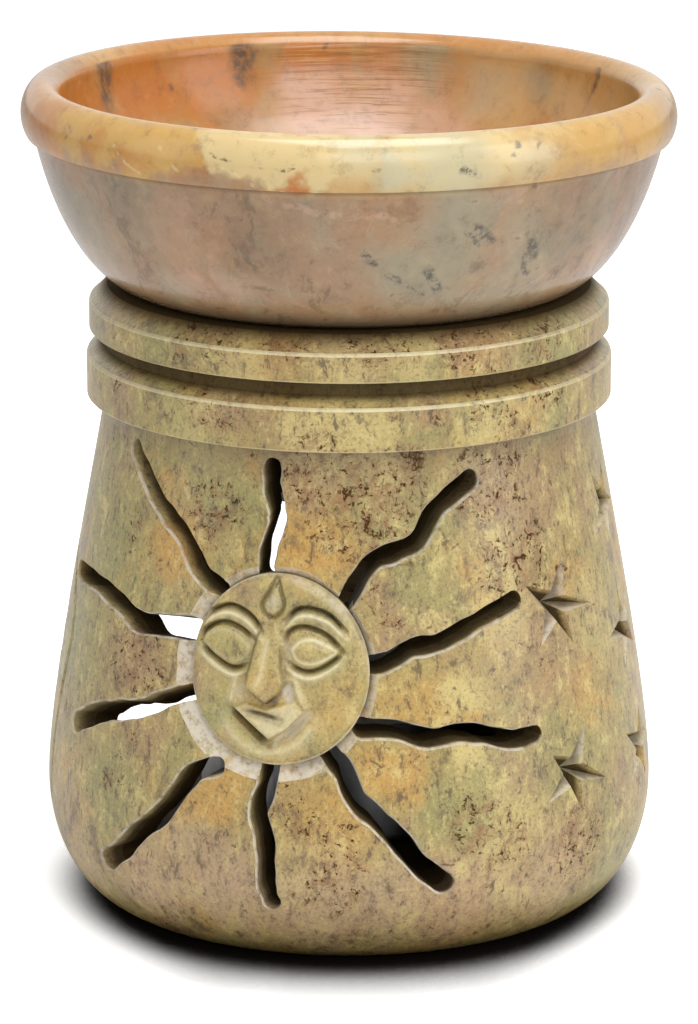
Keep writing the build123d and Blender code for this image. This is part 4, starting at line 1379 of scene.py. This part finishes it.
def seen_by(tree, *kinds):
    """Tells whether a ray is of one of some kinds, such as Camera."""
    path, seen = add(tree, "ShaderNodeLightPath"), 0.0
    for kind in kinds:
        seen = calc("MAXIMUM", seen, Value(path.outputs[f"Is {kind} Ray"]))
    return seen


def white_floor(levels):
    """Floor that looks white but for a dark shadow close round the foot, wider in front than beside it."""
    material, tree = finish("white_floor")
    tilted = Vector((0.0, 0.9, 0.43)).normalized()
    open_sky = output(tree, "ShaderNodeAmbientOcclusion",
                      {"Distance": levels.shadow_reach, "Normal": tilted}, "AO", samples=12)
    sideways = calc("ABSOLUTE", output(tree, "ShaderNodeSeparateXYZ", {0: coordinates(tree)}))
    open_sky = between(open_sky + between(sideways, 15 * MM, 42 * MM, 0.0, 0.28), 0.46, 0.92)
    matt = output(tree, "ShaderNodeBsdfDiffuse", {"Color": mix(open_sky, levels.shadow, levels.floor)})
    glow = output(tree, "ShaderNodeEmission", {"Color": (1, 1, 1, 1), "Strength": open_sky * levels.glow})
    nothing = output(tree, "ShaderNodeEmission", {"Color": (0, 0, 0, 1), "Strength": 0.0})
    seen = seen_by(tree, "Camera", "Transmission")
    extra = output(tree, "ShaderNodeMixShader", {0: seen, 1: nothing, 2: glow})
    both = output(tree, "ShaderNodeAddShader", {0: matt, 1: extra})
    add(tree, "ShaderNodeOutputMaterial", {"Surface": both})
    return material


def soft_surround(levels):
    """White all round where it is seen, with its own level as a light."""
    world = bpy.data.worlds.new("soft_surround")
    world.use_nodes = True
    tree = world.node_tree
    tree.nodes.clear()
    soft, white = (output(tree, "ShaderNodeBackground", {"Color": (1, 1, 1, 1), "Strength": level})
                   for level in (levels.world, 1.0))
    seen = seen_by(tree, "Camera", "Glossy", "Transmission")
    chosen = output(tree, "ShaderNodeMixShader", {0: seen, 1: soft, 2: white})
    add(tree, "ShaderNodeOutputWorld", {"Surface": chosen})
    return world


def dress(piece, material):
    """Gives a piece its finish."""
    if not piece.data.materials:
        piece.data.materials.append(material)
    for slot in piece.material_slots:
        slot.material = material


# Operators


class BURNER_OT_body(Operator):
    """Turn the stone body and cut the rays, the stars and the doorway"""

    bl_idname = "burner.body"
    bl_label = "Stone Body"

    def execute(self, context):
        sizes, carving = context.scene.burner_body, context.scene.burner_carving
        wall = Wall(sizes)
        body = as_object(turned(body_outline(sizes, wall), sizes.steps), "carved_body")
        cut(body, [margin_cutter(wall, carving)])
        rays = [ray_cutter(wall, carving, sizes.wall, number) for number in range(len(RAYS))]
        cut(body, rays[::2])
        cut(body, rays[1::2])
        cut(body, star_cutters(wall, carving) + [door_line_cutter(wall, sizes, carving)])
        for shapes in door_cutters(sizes, carving):
            cut(body, shapes)
        mark_depth_shade(body.data, wall, sizes, carving)
        mark_scraped_and_lit(body.data, wall, sizes, carving)
        mark_worn_highlights(body.data, sizes)
        shade(body)
        dress(body, body_stone(context.scene.burner_colours, wall))
        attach(body, "burner")
        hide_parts("stone_body")
        return {"FINISHED"}


class BURNER_OT_face(Operator):
    """Carve the sun's face"""

    bl_idname = "burner.face"
    bl_label = "Sun Face"

    def execute(self, context):
        wall = Wall(context.scene.burner_body)
        face = as_object(face_shape(wall, context.scene.burner_carving), "sun_face")
        shade(face, 60.0)
        body = bpy.data.objects.get("carved_body")
        if body is None:
            raise RuntimeError("Make the stone body first, because the face is cut from the same stone")
        dress(face, body.active_material)
        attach(face, "burner")
        return {"FINISHED"}


class BURNER_OT_dish(Operator):
    """Turn the lift-off oil dish"""

    bl_idname = "burner.dish"
    bl_label = "Oil Dish"

    def execute(self, context):
        sizes = context.scene.burner_bowl
        seat = context.scene.burner_body.height
        outline, lip = bowl_outline(sizes, seat)
        dish = as_object(turned(outline, sizes.steps), "turned_dish")
        mark_hollow(dish.data, sizes, outline, lip)
        lean(dish, sizes, seat)
        shade(dish, 28.0)
        radii, heights = np.array(outline[6:lip]).T
        material = bowl_stone(context.scene.burner_colours,
                              lambda height: float(np.interp(height, heights, radii)),
                              sizes.rim_radius + sizes.rim_half_width, sizes.lip_radius)
        dress(dish, material)
        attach(dish, "dish")
        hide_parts("oil_bowl")
        return {"FINISHED"}


class BURNER_OT_tealight(Operator):
    """Finish the tealight's cup, wax, sustainer and wick"""

    bl_idname = "burner.tealight"
    bl_label = "Tealight"

    def execute(self, context):
        finishes = {"tealight_cup": cup_metal, "tealight_wax": candle_wax, "wick_sustainer": pressed_steel,
                    "wick": waxed_cotton}
        for node, make in finishes.items():
            dress(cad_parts[node], make())
        return {"FINISHED"}


# Each lamp's name, place and size, by the setting that holds its power
LAMPS = {
    "key": ("lamp_above", (0.06, -0.12, 0.75), (0.45, 0.45)),
    "left": ("lamp_left", (-0.60, -0.25, 0.30), (0.3, 0.6)),
    "right": ("lamp_right", (0.60, -0.30, 0.30), (0.3, 0.6)),
    "front": ("lamp_front", (0.15, -0.80, 0.50), (0.6, 0.4)),
}
LAMP_AIM = Vector((0.0, 0.0, 0.055))
# The photographing camera: focal length and picture height in pixels, place, and tilt down in radians
FOCAL_PIXELS, PICTURE_HEIGHT, SENSOR = 5491.74, 1024, 36.0
CAMERA_PLACE = (0.0, -0.6755, 0.229707)
CAMERA_TILT = 0.261714


def lamp(name, place, size, power):
    """Soft lamp that looks at the burner."""
    light = bpy.data.lights.new(name, "AREA")
    light.shape = "RECTANGLE"
    light.size, light.size_y = size
    light.energy = power
    made = bpy.data.objects.new(name, light)
    bpy.context.scene.collection.objects.link(made)
    made.location = place
    made.rotation_euler = (LAMP_AIM - Vector(place)).to_track_quat("-Z", "Y").to_euler()


class BURNER_OT_stage(Operator):
    """Set up the pale floor, the soft lamps and the camera"""

    bl_idname = "burner.stage"
    bl_label = "Stage"

    def execute(self, context):
        levels = context.scene.burner_stage
        shape = bmesh.new()
        bmesh.ops.create_grid(shape, x_segments=8, y_segments=8, size=3.0)
        floor = as_object(shape, "floor")
        dress(floor, white_floor(levels))
        context.scene.world = soft_surround(levels)
        for setting, (name, place, size) in LAMPS.items():
            lamp(name, place, size, getattr(levels, setting))

        camera = bpy.data.objects.new("camera", bpy.data.cameras.new("camera"))
        context.scene.collection.objects.link(camera)
        camera.data.lens = FOCAL_PIXELS * SENSOR / PICTURE_HEIGHT
        camera.data.sensor_width = SENSOR
        camera.data.clip_start = 0.01
        camera.location = CAMERA_PLACE
        camera.rotation_euler = pi / 2 - CAMERA_TILT, 0.0, 0.0
        context.scene.camera = camera
        context.scene.view_settings.view_transform = "Standard"
        return {"FINISHED"}


class BURNER_PT_panel(Panel):
    """Steps that make the burner"""

    bl_idname = "BURNER_PT_panel"
    bl_label = "Oil Burner"
    bl_space_type = "VIEW_3D"
    bl_region_type = "UI"
    bl_category = "Burner"

    def draw(self, context):
        for step_class in STEPS:
            self.layout.operator(step_class.bl_idname)


GROUPS = {
    "burner_body": BodySizes,
    "burner_carving": CarvingSizes,
    "burner_bowl": BowlSizes,
    "burner_colours": StoneColours,
    "burner_stage": StageLevels,
}
STEPS = (BURNER_OT_body, BURNER_OT_face, BURNER_OT_dish, BURNER_OT_tealight, BURNER_OT_stage)


def register():
    for group in (*GROUPS.values(), *STEPS, BURNER_PT_panel):
        bpy.utils.register_class(group)
    for name, group in GROUPS.items():
        setattr(bpy.types.Scene, name, PointerProperty(type=group))


def unregister():
    for name in GROUPS:
        delattr(bpy.types.Scene, name)
    for group in reversed((*GROUPS.values(), *STEPS, BURNER_PT_panel)):
        bpy.utils.unregister_class(group)


def main():
    register()
    bpy.ops.burner.body()
    bpy.ops.burner.face()
    bpy.ops.burner.dish()
    bpy.ops.burner.tealight()
    bpy.ops.burner.stage()


if __name__ == "__main__":
    main()
